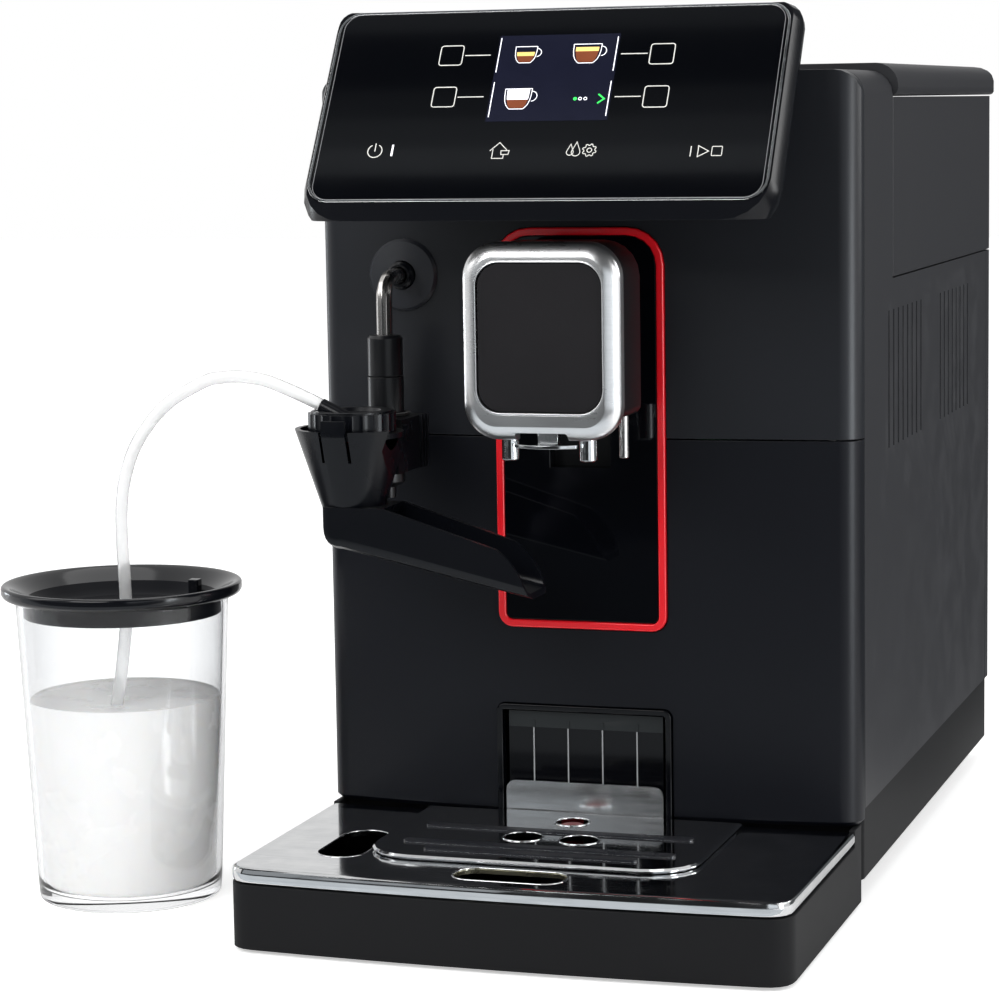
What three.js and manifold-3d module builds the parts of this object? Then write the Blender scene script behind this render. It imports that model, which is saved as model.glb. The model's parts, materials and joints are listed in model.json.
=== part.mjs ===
// Bean to cup coffee machine with its milk glass, as separate pieces. Millimetres, +Z up.
// X runs to the right, Y to the back. The pieces are placed from the middle of the machine's
// front corners at counter height, and the finished group is centred on its base at the end.
import * as THREE from "three";
import { mergeVertices } from "three/addons/utils/BufferGeometryUtils.js";
import Module from "manifold-3d";

const wasm = await Module();
wasm.setup();

// Sizes shared by every piece: the clearance of touching pieces, the overrun of cuts, the merge step
const gap = 0.3;
const overrun = 6;
const mergeStep = 1e-4;
const arcSteps = 5;
const bowSteps = 8;

// Outer body
const body = {
  width: 224,
  rear: 316.5,
  top: 332,
  wall: 3,
  topRound: 10,
  frontRound: 8.5,
  bow: 6.5,
  frontSeam: 9,
  seamGap: 0.6,
  rearCoverDepth: 14.5,
  rearRound: 6,
  crossSeam: 188,
  coverFoot: 33.6,
  footChamfer: 2,
};
const half = body.width / 2;
const rearSeam = body.rear - body.rearCoverDepth;

const base = { top: 39.5, bottom: 9.5, inset: 1.2, front: 10.3, rearInset: 3, wall: 3, round: 4 };
const foot = { radius: 10, chamfer: 1.2, inset: 24, front: 34, rearInset: 30.5, sides: 14 };
const footX = half - foot.inset;
const footRear = body.rear - foot.rearInset;
const tunnel = { half: 42, rear: 196, top: 79.5 };

const vent = {
  count: 8,
  width: 2.5,
  pitch: 10.2,
  low: 178.8,
  high: 235,
  firstFront: 58.2,
  secondFront: 176.9,
};

// Red ring and the spout's track inside it
const ring = {
  half: 35.15,
  low: 110.6,
  high: 271.8,
  width: 3.1,
  face: -7.5,
  topRound: 15,
  footRound: 6,
};
const track = { recess: 0.7, flange: 11, flangeFront: -2.1, flangeDepth: 3, slotPlay: 0.6, slotRoom: 4 };

// Trim around the drawer opening, above the tray
const arch = { half: 36.7, top: 78.9, width: 2.5, face: -7.5, rear: -2.2, round: 3.5 };

// Control panel, drawn in its own tilted plane: the origin is the foot of the glass
const panel = {
  foot: { y: -69, z: 284.3 },
  head: { y: -22.2, z: 357.4 },
  glassHalf: 91.3,
  glassRound: 9,
  rim: 1,
  rimDepth: 2.6,
  glassDrop: 0.2,
  sideBevel: 2.6,
  bevelDepth: 5,
  depth: 15.2,
  chin: 11,
  chinRound: 20,
  underside: 277,
  pocket: 8.6,
};
const neck = { half: 72, low: 286, high: 329, lowFront: -58, highFront: -30 };
const screen = { left: -23.4, right: 25.2, low: 35.4, high: 74.4, margin: 2.4 };

// Steam wand and the milk frother on it
const wand = {
  x: -74.2,
  z: 252.8,
  discRadius: 14.65,
  discFace: -6.9,
  discEdge: 1.1,
  spigot: 10.4,
  spigotRear: 1,
  coverHole: 10.9,
  collar: 5.6,
  collarFace: -10.6,
  collarRear: 5,
  pipeRadius: 3.2,
  pipeSides: 10,
  pipeSteps: 18,
  bend: 9.5,
  y: -28,
  sleeveRadius: 7,
  sleeveTop: 230.2,
  sleeveJoint: 213.7,
  sleeveDepth: 12,
  tipRadius: 7.15,
  tipFoot: 170.5,
  nozzleRadius: 3.4,
  nozzleFoot: 165,
  discSides: 28,
  sides: 20,
};
const frother = {
  x: -77.3,
  y: -58.5,
  wall: 2,
  rimRadius: 22.5,
  rimTop: 196.2,
  ledge: 2,
  ledgeZ: 192.4,
  outlet: 6,
  outletTop: 165,
  capRadius: 17.3,
  capTop: 203,
  capTurn: 26,
  capDish: 11.5,
  flute: 0.7,
  tongueHalf: 4.8,
  tongueTop: 200.6,
  slot: 1.2,
  slotFoot: 184,
  sides: 28,
};
const bracket = { left: -87, right: -61.5, low: 177, high: 198, rear: -16.6, rubber: 1.1, rib: 1.2 };
const chute = {
  half: 13,
  wall: 1.8,
  round: 5,
  heelX: -87.4,
  heelZ: 158,
  heelFootX: -79,
  heelFootZ: 149.3,
  tipFootX: -1.5,
  tipFootZ: 132,
  tipX: -3,
  tipZ: 134.5,
  lipX: -7,
  lipZ: 146.5,
  rimX: -15,
  rimZ: 151.5,
  shoulderX: -61,
  shoulderZ: 166,
  steps: 6,
};
const nipple = {
  x: -89.2,
  y: -60.4,
  z: 204.9,
  towardX: -0.9,
  towardZ: 0.43,
  radius: 2.9,
  length: 13,
  sides: 12,
};

// Coffee spout
const spout = {
  face: -60.5,
  halfX: 31.6,
  low: 192.2,
  high: 268.4,
  round: 14,
  frameRear: -51.8,
  bevel: 5.4,
  bevelDepth: 4.5,
  insertHalf: 24.9,
  insertLow: 203.2,
  insertHigh: 260.4,
  insertRound: 9,
  insertDrop: 1.2,
  notchHalf: 10.6,
  notchTop: 195.2,
  blockFoot: 200,
  blockInset: 0.6,
  blockRear: -26,
  blockRound: 4,
  neckHalf: 12,
  neckLow: 208,
  neckHigh: 258,
  shutterHalf: 22,
  shutterDepth: 2,
  travel: 28,
};
const nozzle = {
  x: 15.65,
  y: -48,
  radius: 3.5,
  bore: 2.1,
  drop: 16.6,
  chamfer: 0.6,
  boreDepth: 10,
  sides: 16,
};
const lip = {
  half: 12.5,
  drop: 11.2,
  thick: 1.4,
  front: -57.5,
  rear: -53.5,
  band: 1.8,
  stem: 4,
  stemFront: -50,
  stemRear: -45,
  steps: 8,
};
const waterTube = {
  x: 26,
  y: -34,
  radius: 2,
  bore: 1.2,
  drop: 16.5,
  chamfer: 0.3,
  boreDepth: 8,
  sides: 12,
};

// Drip tray
const tray = {
  inset: 1.6,
  front: -119.4,
  bow: 4,
  round: 11,
  low: 1.1,
  floor: 2.9,
  wall: 2.5,
  top: 26.5,
  rear: 9.9,
  backFront: -3.1,
  backTop: 33.2,
  shelfHalf: 40,
  shelfLow: 12.8,
  shelfDepth: 2,
  shelfFront: -8,
  shelfRear: 192,
  shelfLip: 5,
};
const lid = {
  top: 32.9,
  edgeLow: 26.8,
  thick: 2.2,
  edge: 2,
  rear: -3.5,
  round: 2,
  well: 58,
  wellFront: -83,
  wellRear: -14,
};
const fingerHole = { x: -75.5, y: -71, long: 46, wide: 19 };
const frontNotch = { half: 22, front: -115, rear: -96, round: 8 };
const plate = {
  half: 66,
  front: -92.5,
  rear: -8.5,
  top: 35.1,
  round: 20,
  edge: 0.8,
  tabHalf: 33.1,
  tabFront: -6.9,
  tabRear: -5.9,
  tabTop: 47.3,
  tabRound: 4,
  dripX: 11.5,
  dripY: -53,
  dripRadius: 8,
  floatHole: 7,
  holeSides: 20,
};
const bars = {
  half: 2.2,
  rise: 0.8,
  rearY: -42.7,
  middleY: -70,
  frontY: -80.7,
  reach: 55,
  frontReach: 43,
  steps: 3,
};
const floater = { y: -24, radius: 4.6, top: 34.2, skirt: 13, skirtTop: 17, sides: 16 };
const drawer = {
  half: 32.5,
  front: -4,
  rear: 188,
  low: 15.1,
  top: 72,
  frontTop: 75.6,
  wall: 2,
  round: 4,
  rib: 0.5,
  ribHalf: 0.6,
  ribPitch: 14.5,
  ribCount: 4,
  ribLow: 34,
};

// Water tank, bean hopper and the lids on top
const tank = {
  left: 6,
  front: 68.1,
  low: 248.3,
  high: 72.9,
  wall: 2.5,
  round: 1.5,
  outlet: 6,
  outletX: 34,
  outletInset: 30.5,
  valveDrop: 5,
};
const tankTop = tank.low + tank.high;
const outletY = body.rear - tank.outletInset;
const tankLid = { left: 3, high: 13.2, over: 2.2, round: 9.5, lip: 3, skin: 3 };
const hopper = {
  inset: 13,
  right: -3.6,
  front: 120,
  rearInset: 26.5,
  round: 8,
  wall: 2.2,
  flange: 2,
  flangeDepth: 3,
  floor: 286,
  shelfRear: 172,
  low: 262,
  throat: 20,
  throatX: -54,
  throatY: 236,
  steps: 3,
};
const hopperLeft = -half + hopper.inset;
const hopperRear = body.rear - hopper.rearInset;
const hopperLid = { over: 2, high: 2.7, plug: 4, plugWall: 2, pull: 12, pullDepth: 1.2, edge: 0.6 };
const adjuster = {
  inset: 21,
  y: 146,
  radius: 11,
  taper: 1.5,
  height: 9,
  grip: 2.4,
  gripHeight: 6,
  turn: 9,
  sides: 20,
};
const groundChute = { left: -57, right: -23, front: 78, rear: 107, wall: 2, low: 214 };
const groundLid = {
  left: -60,
  right: -20,
  front: 74,
  axisY: 110.4,
  rise: 1.6,
  radius: 1.2,
  pin: 0.6,
  pinLength: 1.6,
  ear: 2.6,
  earHalf: 1.7,
};
const groundAxisZ = body.top + groundLid.rise;

// Service door in the left side
const door = {
  front: 95,
  axisY: 253.5,
  low: 55,
  high: 235,
  play: 0.5,
  pin: 0.7,
  pinLength: 2.4,
  sides: 10,
};

// Mains inlet and switch in the back
const inlet = {
  x: -72,
  z: 75,
  halfX: 15.5,
  halfZ: 12,
  flange: 1.8,
  bodyX: 13.6,
  bodyZ: 9.8,
  depth: 17.5,
  cupX: 12,
  cupZ: 7.9,
  cupDepth: 15,
  cupCorner: 4,
  pinHalf: 1,
  pinHigh: 2,
  pinLong: 12,
  pinX: 7,
  pinRise: 2,
};
const rocker = {
  x: -34,
  z: 75,
  halfX: 6,
  halfZ: 8.7,
  axisInset: 6.5,
  proud: 6.4,
  dish: 1.6,
  back: 5,
  tilt: 8,
  room: 1.2,
  flange: 2.2,
  depth: 16,
};

// Ends of the slot that the spout's neck runs in
const slotLow = spout.neckLow - spout.travel - track.slotRoom;
const slotHigh = spout.neckHigh + track.slotRoom;

// Inside: carrier frame, grinder, brew group, boiler, pump and circuit board
const inner = {
  wall: 3,
  sideX: 43,
  front: 16,
  rearInset: 18.5,
  shelf: 83,
  sideGap: 4,
  tower: 248,
  towerFront: 66,
  chuteHalf: 24,
  chuteFront: 70,
  chuteRear: 150,
};
const grinder = {
  radius: 33,
  low: 206,
  neckRadius: 22,
  burrRadius: 16,
  bodyTop: 250,
  ease: 6,
  outletHalf: 8,
  motorRadius: 24,
  sides: 20,
};
const brew = {
  inset: 13,
  right: -12,
  front: 92,
  rear: 196,
  bodyTop: 150,
  cylRadius: 24,
  cylTop: 204,
  cylX: -54,
  cylY: 122,
  rim: 3,
  handleY: 150,
  handleZ: 130,
  armRadius: 8,
  armLength: 30,
  sides: 20,
};
const brewLeft = -half + brew.inset;
const deck = inner.shelf + gap;
const boiler = {
  inset: 36,
  y: 112,
  radius: 26,
  top: 176,
  dome: 6,
  port: 3,
  portHigh: 8,
  sides: 20,
};
const pump = {
  inset: 36,
  z: 112,
  front: 176,
  rear: 272,
  radius: 19,
  headRadius: 12,
  head: 22,
  footHalf: 14,
  sides: 20,
};
const boilerX = half - boiler.inset;
const pumpX = half - pump.inset;
const board = {
  front: 84,
  rear: 226,
  low: 96,
  high: 208,
  thick: 1.6,
  part: 9,
  partHigh: 12,
  cols: 4,
  rows: 2,
};

// Milk glass, its lid and the milk
const glass = {
  x: -185,
  y: -44,
  footRadius: 37.4,
  topRadius: 43.4,
  top: 124.1,
  wall: 2.2,
  floor: 4.5,
  edge: 1.5,
  sides: 40,
};
const glassLid = {
  radius: 49,
  lipLow: 124.4,
  top: 129.7,
  plugRadius: 40.3,
  plugLow: 117,
  dishRadius: 31,
  dish: 119.4,
  lipRound: 2.6,
  rim: 4.5,
  edge: 1.2,
  holeX: -175.55,
  holeY: -60.9,
  ventX: -164.2,
  ventY: -17.5,
  ventHalf: 2.4,
  ventTop: 127.4,
};
const milkLevel = 83;
const hose = { radius: 2.5, sides: 8, steps: 32, hole: 3.4 };

// The hose's route from the frother's nipple through the lid into the milk
const hoseRoute = [
  [-89.5, -60.4, 205.05],
  [-96, -60.5, 208],
  [-103.6, -60.6, 211.2],
  [-112.1, -60.6, 214.2],
  [-119, -60.7, 215.4],
  [-125.8, -60.7, 215.8],
  [-132.2, -60.7, 215.2],
  [-138.2, -60.7, 213.8],
  [-150.7, -60.8, 207.4],
  [-158, -60.8, 201.8],
  [-163.9, -60.9, 195.2],
  [-168.4, -60.9, 188.8],
  [-171.7, -60.9, 182],
  [-174.6, -60.9, 172.6],
  [-176, -60.9, 163.5],
  [-176.4, -60.9, 152.6],
  [-176.2, -60.9, 144.9],
  [-175.8, -60.9, 136.9],
  [-175.5, -60.9, 126.1],
  [-175.6, -60.9, 118],
  [-176.2, -60.9, 111],
  [-178.4, -61, 95],
  [-181.4, -61, 79],
  [-184.4, -60.6, 62],
  [-187.4, -60, 44],
  [-190.2, -59.2, 26],
  [-192, -58.6, 13],
];

const finishes = {
  matteBlack: { color: 0x1c1e21, roughness: 0.55, metalness: 0 },
  softBlack: { color: 0x141517, roughness: 0.45, metalness: 0 },
  glossBlack: { color: 0x08090b, roughness: 0.08, metalness: 0 },
  red: { color: 0xc41f2b, roughness: 0.3, metalness: 0 },
  chrome: { color: 0xd8dadc, roughness: 0.08, metalness: 1 },
  satinChrome: { color: 0xc9cbcd, roughness: 0.25, metalness: 1 },
  steel: { color: 0xb8bbbe, roughness: 0.3, metalness: 1 },
  rubber: { color: 0x101010, roughness: 0.85, metalness: 0 },
  smoke: { color: 0x25282b, roughness: 0.15, metalness: 0 },
  ivory: { color: 0xd9d6cc, roughness: 0.5, metalness: 0 },
  green: { color: 0x1f5a36, roughness: 0.6, metalness: 0 },
  clear: { color: 0xf2f6f7, roughness: 0.05, metalness: 0, transparent: true, opacity: 0.35 },
  hose: { color: 0xe9eded, roughness: 0.3, metalness: 0, transparent: true, opacity: 0.7 },
  milk: { color: 0xfbfaf6, roughness: 0.4, metalness: 0 },
};

// A closed geometry as a solid, with its shared corners merged and its faces turned outwards
function solidOf(geometry) {
  const bare = geometry.index ? geometry.toNonIndexed() : geometry.clone();
  bare.deleteAttribute("normal");
  bare.deleteAttribute("uv");
  const merged = mergeVertices(bare, mergeStep);
  const corners = merged.index.array;
  const kept = [];
  for (let i = 0; i < corners.length; i += 3) {
    const [a, b, c] = corners.slice(i, i + 3);
    if (a !== b && b !== c && c !== a) kept.push(a, b, c);
  }
  const build = (faces) =>
    new wasm.Manifold(
      new wasm.Mesh({
        numProp: 3,
        vertProperties: Float32Array.from(merged.attributes.position.array),
        triVerts: Uint32Array.from(faces),
      }),
    );
  const made = build(kept);
  return made.volume() < 0 ? build(kept.reverse()) : made;
}

const join = (...solids) => solids.reduce((all, one) => all.add(one));
const cut = (solid, ...tools) => tools.reduce((all, one) => all.subtract(one), solid);

const group = new THREE.Group();

// A named piece, made of a solid
function piece(name, solid, finish) {
  const { vertProperties, triVerts } = solid.getMesh();
  const geometry = new THREE.BufferGeometry();
  geometry.setAttribute("position", new THREE.BufferAttribute(Float32Array.from(vertProperties), 3));
  geometry.setIndex(new THREE.BufferAttribute(Uint32Array.from(triVerts), 1));
  geometry.computeVertexNormals();
  const mesh = new THREE.Mesh(geometry, new THREE.MeshStandardMaterial(finishes[finish]));
  mesh.name = name;
  group.add(mesh);
  return mesh;
}

// Points on an arc, with its angles in half turns
function arc(x, y, radius, from, to, steps = arcSteps) {
  if (radius === 0) return [new THREE.Vector2(x, y)];
  return Array.from({ length: steps + 1 }, (_, i) => {
    const angle = Math.PI * (from + ((to - from) * i) / steps);
    return new THREE.Vector2(x + radius * Math.cos(angle), y + radius * Math.sin(angle));
  });
}

// A rectangle with round corners, whose radii run from the low left corner round to the high left one
function roundedRect(x0, y0, x1, y1, rounds = 0, steps = arcSteps) {
  const [r0, r1, r2, r3] = Array.isArray(rounds) ? rounds : [rounds, rounds, rounds, rounds];
  return new THREE.Shape([
    ...arc(x0 + r0, y0 + r0, r0, 1, 1.5, steps),
    ...arc(x1 - r1, y0 + r1, r1, 1.5, 2, steps),
    ...arc(x1 - r2, y1 - r2, r2, 0, 0.5, steps),
    ...arc(x0 + r3, y1 - r3, r3, 0.5, 1, steps),
  ]);
}

const disc = (x, y, radius, sides) => new THREE.Shape(arc(x, y, radius, 0, 2, sides).slice(0, -1));
const outline = (points) => new THREE.Shape(points.map(([x, y]) => new THREE.Vector2(x, y)));

// Where a drawing plane's own x, y and depth point, by the axis that the depth runs along
const planes = {
  x: (p) => [p.z, p.x, p.y],
  y: (p) => [p.x, p.z, p.y],
  z: (p) => [p.x, p.y, p.z],
};

function turned(geometry, axis) {
  const places = geometry.attributes.position;
  for (let i = 0; i < places.count; i++) {
    places.setXYZ(i, ...planes[axis](new THREE.Vector3().fromBufferAttribute(places, i)));
  }
  return geometry;
}

// A shape carried along an axis from one place to another, with an optional bevel at both ends
function prismGeometry(shape, axis, from, to, bevel) {
  const options = { depth: 1, bevelEnabled: false, curveSegments: arcSteps };
  if (bevel) {
    Object.assign(options, {
      depth: to - from - 2 * bevel.depth,
      bevelEnabled: true,
      bevelSize: bevel.size,
      bevelOffset: -bevel.size,
      bevelThickness: bevel.depth,
      bevelSegments: bevel.steps,
    });
  }
  const geometry = new THREE.ExtrudeGeometry(shape, options);
  const places = geometry.attributes.position;
  for (let i = 0; i < places.count; i++) {
    const along = places.getZ(i);
    if (bevel) places.setZ(i, along + from + bevel.depth);
    else places.setZ(i, along > 0 ? to : from);
  }
  return turned(geometry, axis);
}

const prism = (...given) => solidOf(prismGeometry(...given));

function box(low, high) {
  return prism(roundedRect(low[0], low[1], high[0], high[1]), "z", low[2], high[2]);
}

// A solid of revolution about Z, through points of radius and height
function latheGeometry(points, sides) {
  const profile = points.map(([radius, height]) => new THREE.Vector2(radius, height));
  const geometry = new THREE.LatheGeometry(profile, sides);
  const places = geometry.attributes.position;
  for (let i = 0; i < places.count; i++) {
    places.setXYZ(i, places.getX(i), -places.getZ(i), places.getY(i));
  }
  return geometry;
}

const lathe = (points, sides, x = 0, y = 0) => solidOf(latheGeometry(points, sides).translate(x, y, 0));

// A solid of revolution about an axis along X or Y, through points of radius and place on the axis
function turnedPart(points, sides, axis, first, second) {
  const geometry = latheGeometry(points, sides).translate(first, second, 0);
  return solidOf(turned(geometry, axis));
}

// A round bar along a path
function bar(path, radius, sides, steps) {
  const options = { steps, bevelEnabled: false, extrudePath: path };
  return solidOf(new THREE.ExtrudeGeometry(disc(0, 0, radius, sides), options));
}

const vector = (...given) => new THREE.Vector3(...given);

// Plan with a bowed front and round front corners, drawn in by an inset, back to a given place
function bowedPlan(size, inset, back) {
  const radius = (size.half * size.half + size.bow * size.bow) / (2 * size.bow);
  const centre = size.front + radius - size.bow;
  const side = size.half - inset;
  const face = radius - inset;
  const round = Math.max(size.round - inset, size.round / 2);
  const place = (x) => centre - Math.sqrt(face * face - x * x);
  const turn = Math.asin((side - round) / face) / Math.PI;
  const corner = (sign) =>
    new THREE.QuadraticBezierCurve(
      new THREE.Vector2(sign * side, place(side) + round),
      new THREE.Vector2(sign * side, place(side)),
      new THREE.Vector2(sign * (side - round), place(side - round)),
    ).getPoints(arcSteps);
  return new THREE.Shape([
    new THREE.Vector2(-side, back),
    ...corner(-1),
    ...arc(0, centre, face, 1.5 - turn, 1.5 + turn, bowSteps).slice(1, -1),
    ...corner(1).reverse(),
    new THREE.Vector2(side, back),
  ]);
}

const frontPlan = (inset, back) =>
  bowedPlan({ half, front: 0, bow: body.bow, round: body.frontRound }, inset, back);

// Front view of the body's sides and top, drawn in by an inset
function frontView(inset, low) {
  const round = body.topRound - inset;
  return roundedRect(-half + inset, low, half - inset, body.top - inset, [0, 0, round, round]);
}

function makeBase() {
  const side = half - base.inset;
  const rear = body.rear - base.rearInset;
  const floor = base.bottom + base.wall;
  const shell = cut(
    prism(roundedRect(-side, base.front, side, rear, base.round), "z", base.bottom, base.top),
    box(
      [-side + base.wall, base.front + base.wall, floor],
      [side - base.wall, rear - base.wall, base.top + overrun],
    ),
    box(
      [-tunnel.half, base.front - overrun, floor],
      [tunnel.half, base.front + base.wall + overrun, base.top + overrun],
    ),
  );
  piece("base_plinth", shell, "matteBlack");
  for (const [name, x, y] of [
    ["front_left", -footX, foot.front],
    ["front_right", footX, foot.front],
    ["rear_left", -footX, footRear],
    ["rear_right", footX, footRear],
  ]) {
    const profile = [
      [0, 0],
      [foot.radius - foot.chamfer, 0],
      [foot.radius, foot.chamfer],
      [foot.radius, base.bottom],
      [0, base.bottom],
    ];
    piece("foot_" + name, lathe(profile, foot.sides, x, y), "rubber");
  }
}

function ventSlots() {
  return [vent.firstFront, vent.secondFront].flatMap((front) =>
    Array.from({ length: vent.count }, (_, i) =>
      box(
        [half - body.wall - overrun, front + i * vent.pitch, vent.low],
        [half + overrun, front + i * vent.pitch + vent.width, vent.high],
      ),
    ),
  );
}

function makeCasing() {
  const front = body.frontSeam + body.seamGap;
  const rear = rearSeam - body.seamGap;
  const shell = cut(
    prism(frontView(0, base.top), "y", front, rear),
    prism(frontView(body.wall, base.top - overrun), "y", front - overrun, rear + overrun),
  );
  const doorHole = box(
    [-half - overrun, door.front - door.play, door.low - door.play],
    [-half + body.wall + overrun, door.axisY + body.wall / 2 + door.play, door.high + door.play],
  );
  const hingeX = -half + body.wall / 2;
  const pinHoles = prism(
    disc(hingeX, door.axisY, door.pin + gap, door.sides),
    "z",
    door.low - door.play - door.pinLength,
    door.high + door.play + door.pinLength,
  );
  const hopperHole = prism(
    roundedRect(
      hopperLeft - gap,
      hopper.front - gap,
      hopper.right + gap,
      hopperRear + gap,
      hopper.round,
    ),
    "z",
    body.top - body.topRound,
    body.top + overrun,
  );
  const groundHole = box(
    [groundChute.left - gap, groundChute.front - gap, body.top - body.topRound],
    [groundChute.right + gap, groundChute.rear + gap, body.top + overrun],
  );
  const tankHole = box(
    [tankLid.left - body.seamGap, tank.front - body.seamGap, tank.low - body.seamGap],
    [half + overrun, rear + overrun, body.top + overrun],
  );
  const ears = [groundLid.left - gap - groundLid.ear, groundLid.right + gap].map((x) =>
    cut(
      box(
        [x, groundLid.axisY - groundLid.earHalf, body.top - body.wall / 2],
        [x + groundLid.ear, groundLid.axisY + groundLid.earHalf, groundAxisZ + groundLid.radius],
      ),
      prism(
        disc(groundLid.axisY, groundAxisZ, groundLid.pin + gap, door.sides),
        "x",
        x - overrun,
        x + groundLid.ear + overrun,
      ),
    ),
  );
  const open = cut(shell, doorHole, pinHoles, hopperHole, groundHole, tankHole, ...ventSlots());
  piece("outer_casing", join(open, ...ears), "matteBlack");
}

// The shell of the two front covers, before they are parted
function frontShell() {
  const back = body.frontSeam;
  const outer = prism(frontPlan(0, back), "z", body.coverFoot, body.top).intersect(
    prism(frontView(0, base.bottom), "y", -half, back),
  );
  const hollow = prism(
    frontPlan(body.wall, back + overrun),
    "z",
    body.coverFoot - overrun,
    body.top,
  ).intersect(prism(frontView(body.wall, 0), "y", -half, back + overrun));
  const ringHole = prism(ringOutline(-gap), "y", -half, back);
  return cut(outer, hollow, ringHole);
}

function ringOutline(inset) {
  const foot = ring.footRound - inset;
  const head = ring.topRound - inset;
  return roundedRect(
    -ring.half + inset,
    ring.low + inset,
    ring.half - inset,
    ring.high - inset,
    [foot, foot, head, head],
  );
}

const archOutline = (inset, low) =>
  roundedRect(-arch.half + inset, low, arch.half - inset, arch.top - inset, [
    0,
    0,
    Math.max(arch.round - inset, 0),
    Math.max(arch.round - inset, 0),
  ]);

function makeFrontCovers() {
  const shell = frontShell();
  const below = box([-half, -half, 0], [half, half, body.crossSeam - body.seamGap / 2]);
  const above = box(
    [-half - overrun, -half, body.crossSeam + body.seamGap / 2],
    [half + overrun, half, body.top + overrun],
  );
  const chamfered = prism(frontPlan(0, body.frontSeam + overrun), "z", body.coverFoot, body.top, {
    size: body.footChamfer,
    depth: body.footChamfer,
    steps: 1,
  });
  const archHole = prism(archOutline(-gap, 0), "y", -half, half);
  const lower = cut(shell.intersect(below).intersect(chamfered), archHole);
  const wandHole = prism(disc(wand.x, wand.z, wand.coverHole, wand.sides), "y", -half, half);
  piece("front_cover_lower", lower, "matteBlack");
  piece("front_cover_upper", cut(shell.intersect(above), wandHole), "matteBlack");
}

function makeRing() {
  const trim = cut(
    prism(ringOutline(0), "y", ring.face, track.flangeFront),
    prism(ringOutline(ring.width), "y", ring.face - overrun, track.flangeFront + overrun),
  );
  piece("red_ring", trim, "red");

  const flange = ring.half + track.flange;
  const panelFace = join(
    prism(ringOutline(ring.width + gap), "y", ring.face + track.recess, track.flangeFront),
    box(
      [-flange, track.flangeFront, ring.low - track.flange],
      [flange, track.flangeFront + track.flangeDepth, ring.high + track.flange],
    ),
  );
  const slotHalf = spout.neckHalf + track.slotPlay;
  const slot = box(
    [-slotHalf, ring.face - overrun, slotLow],
    [slotHalf, track.flangeFront + track.flangeDepth + overrun, slotHigh],
  );
  piece("spout_track", cut(panelFace, slot), "glossBlack");
}

function makeArch() {
  const low = body.coverFoot + gap;
  const trim = cut(
    prism(archOutline(0, low), "y", arch.face, arch.rear),
    prism(archOutline(arch.width, low - overrun), "y", arch.face - overrun, arch.rear + overrun),
  );
  piece("opening_frame", trim, "softBlack");
}

function makeRearCover() {
  const shell = cut(
    prism(frontView(0, base.top), "y", rearSeam, body.rear),
    prism(frontView(body.wall, base.top - overrun), "y", rearSeam - overrun, body.rear - body.wall),
  );
  const tankRoom = box(
    [tankLid.left - body.seamGap, rearSeam - overrun, tank.low - body.seamGap],
    [half + overrun, body.rear + overrun, body.top + overrun],
  );
  const inletHole = box(
    [inlet.x - inlet.bodyX - gap, rearSeam, inlet.z - inlet.bodyZ - gap],
    [inlet.x + inlet.bodyX + gap, body.rear + overrun, inlet.z + inlet.bodyZ + gap],
  );
  const wide = rocker.halfX + gap + rocker.room + gap;
  const high = rocker.halfZ + 2 * rocker.room + gap;
  const switchHole = box(
    [rocker.x - wide, rearSeam, rocker.z - high],
    [rocker.x + wide, body.rear + overrun, rocker.z + high],
  );
  const plan = prism(
    roundedRect(-half, 0, half, body.rear, [0, 0, body.rearRound, body.rearRound]),
    "z",
    0,
    body.top,
  );
  const open = cut(shell.intersect(plan), tankRoom, inletHole, switchHole);
  piece("rear_cover", open, "matteBlack");
}

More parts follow.
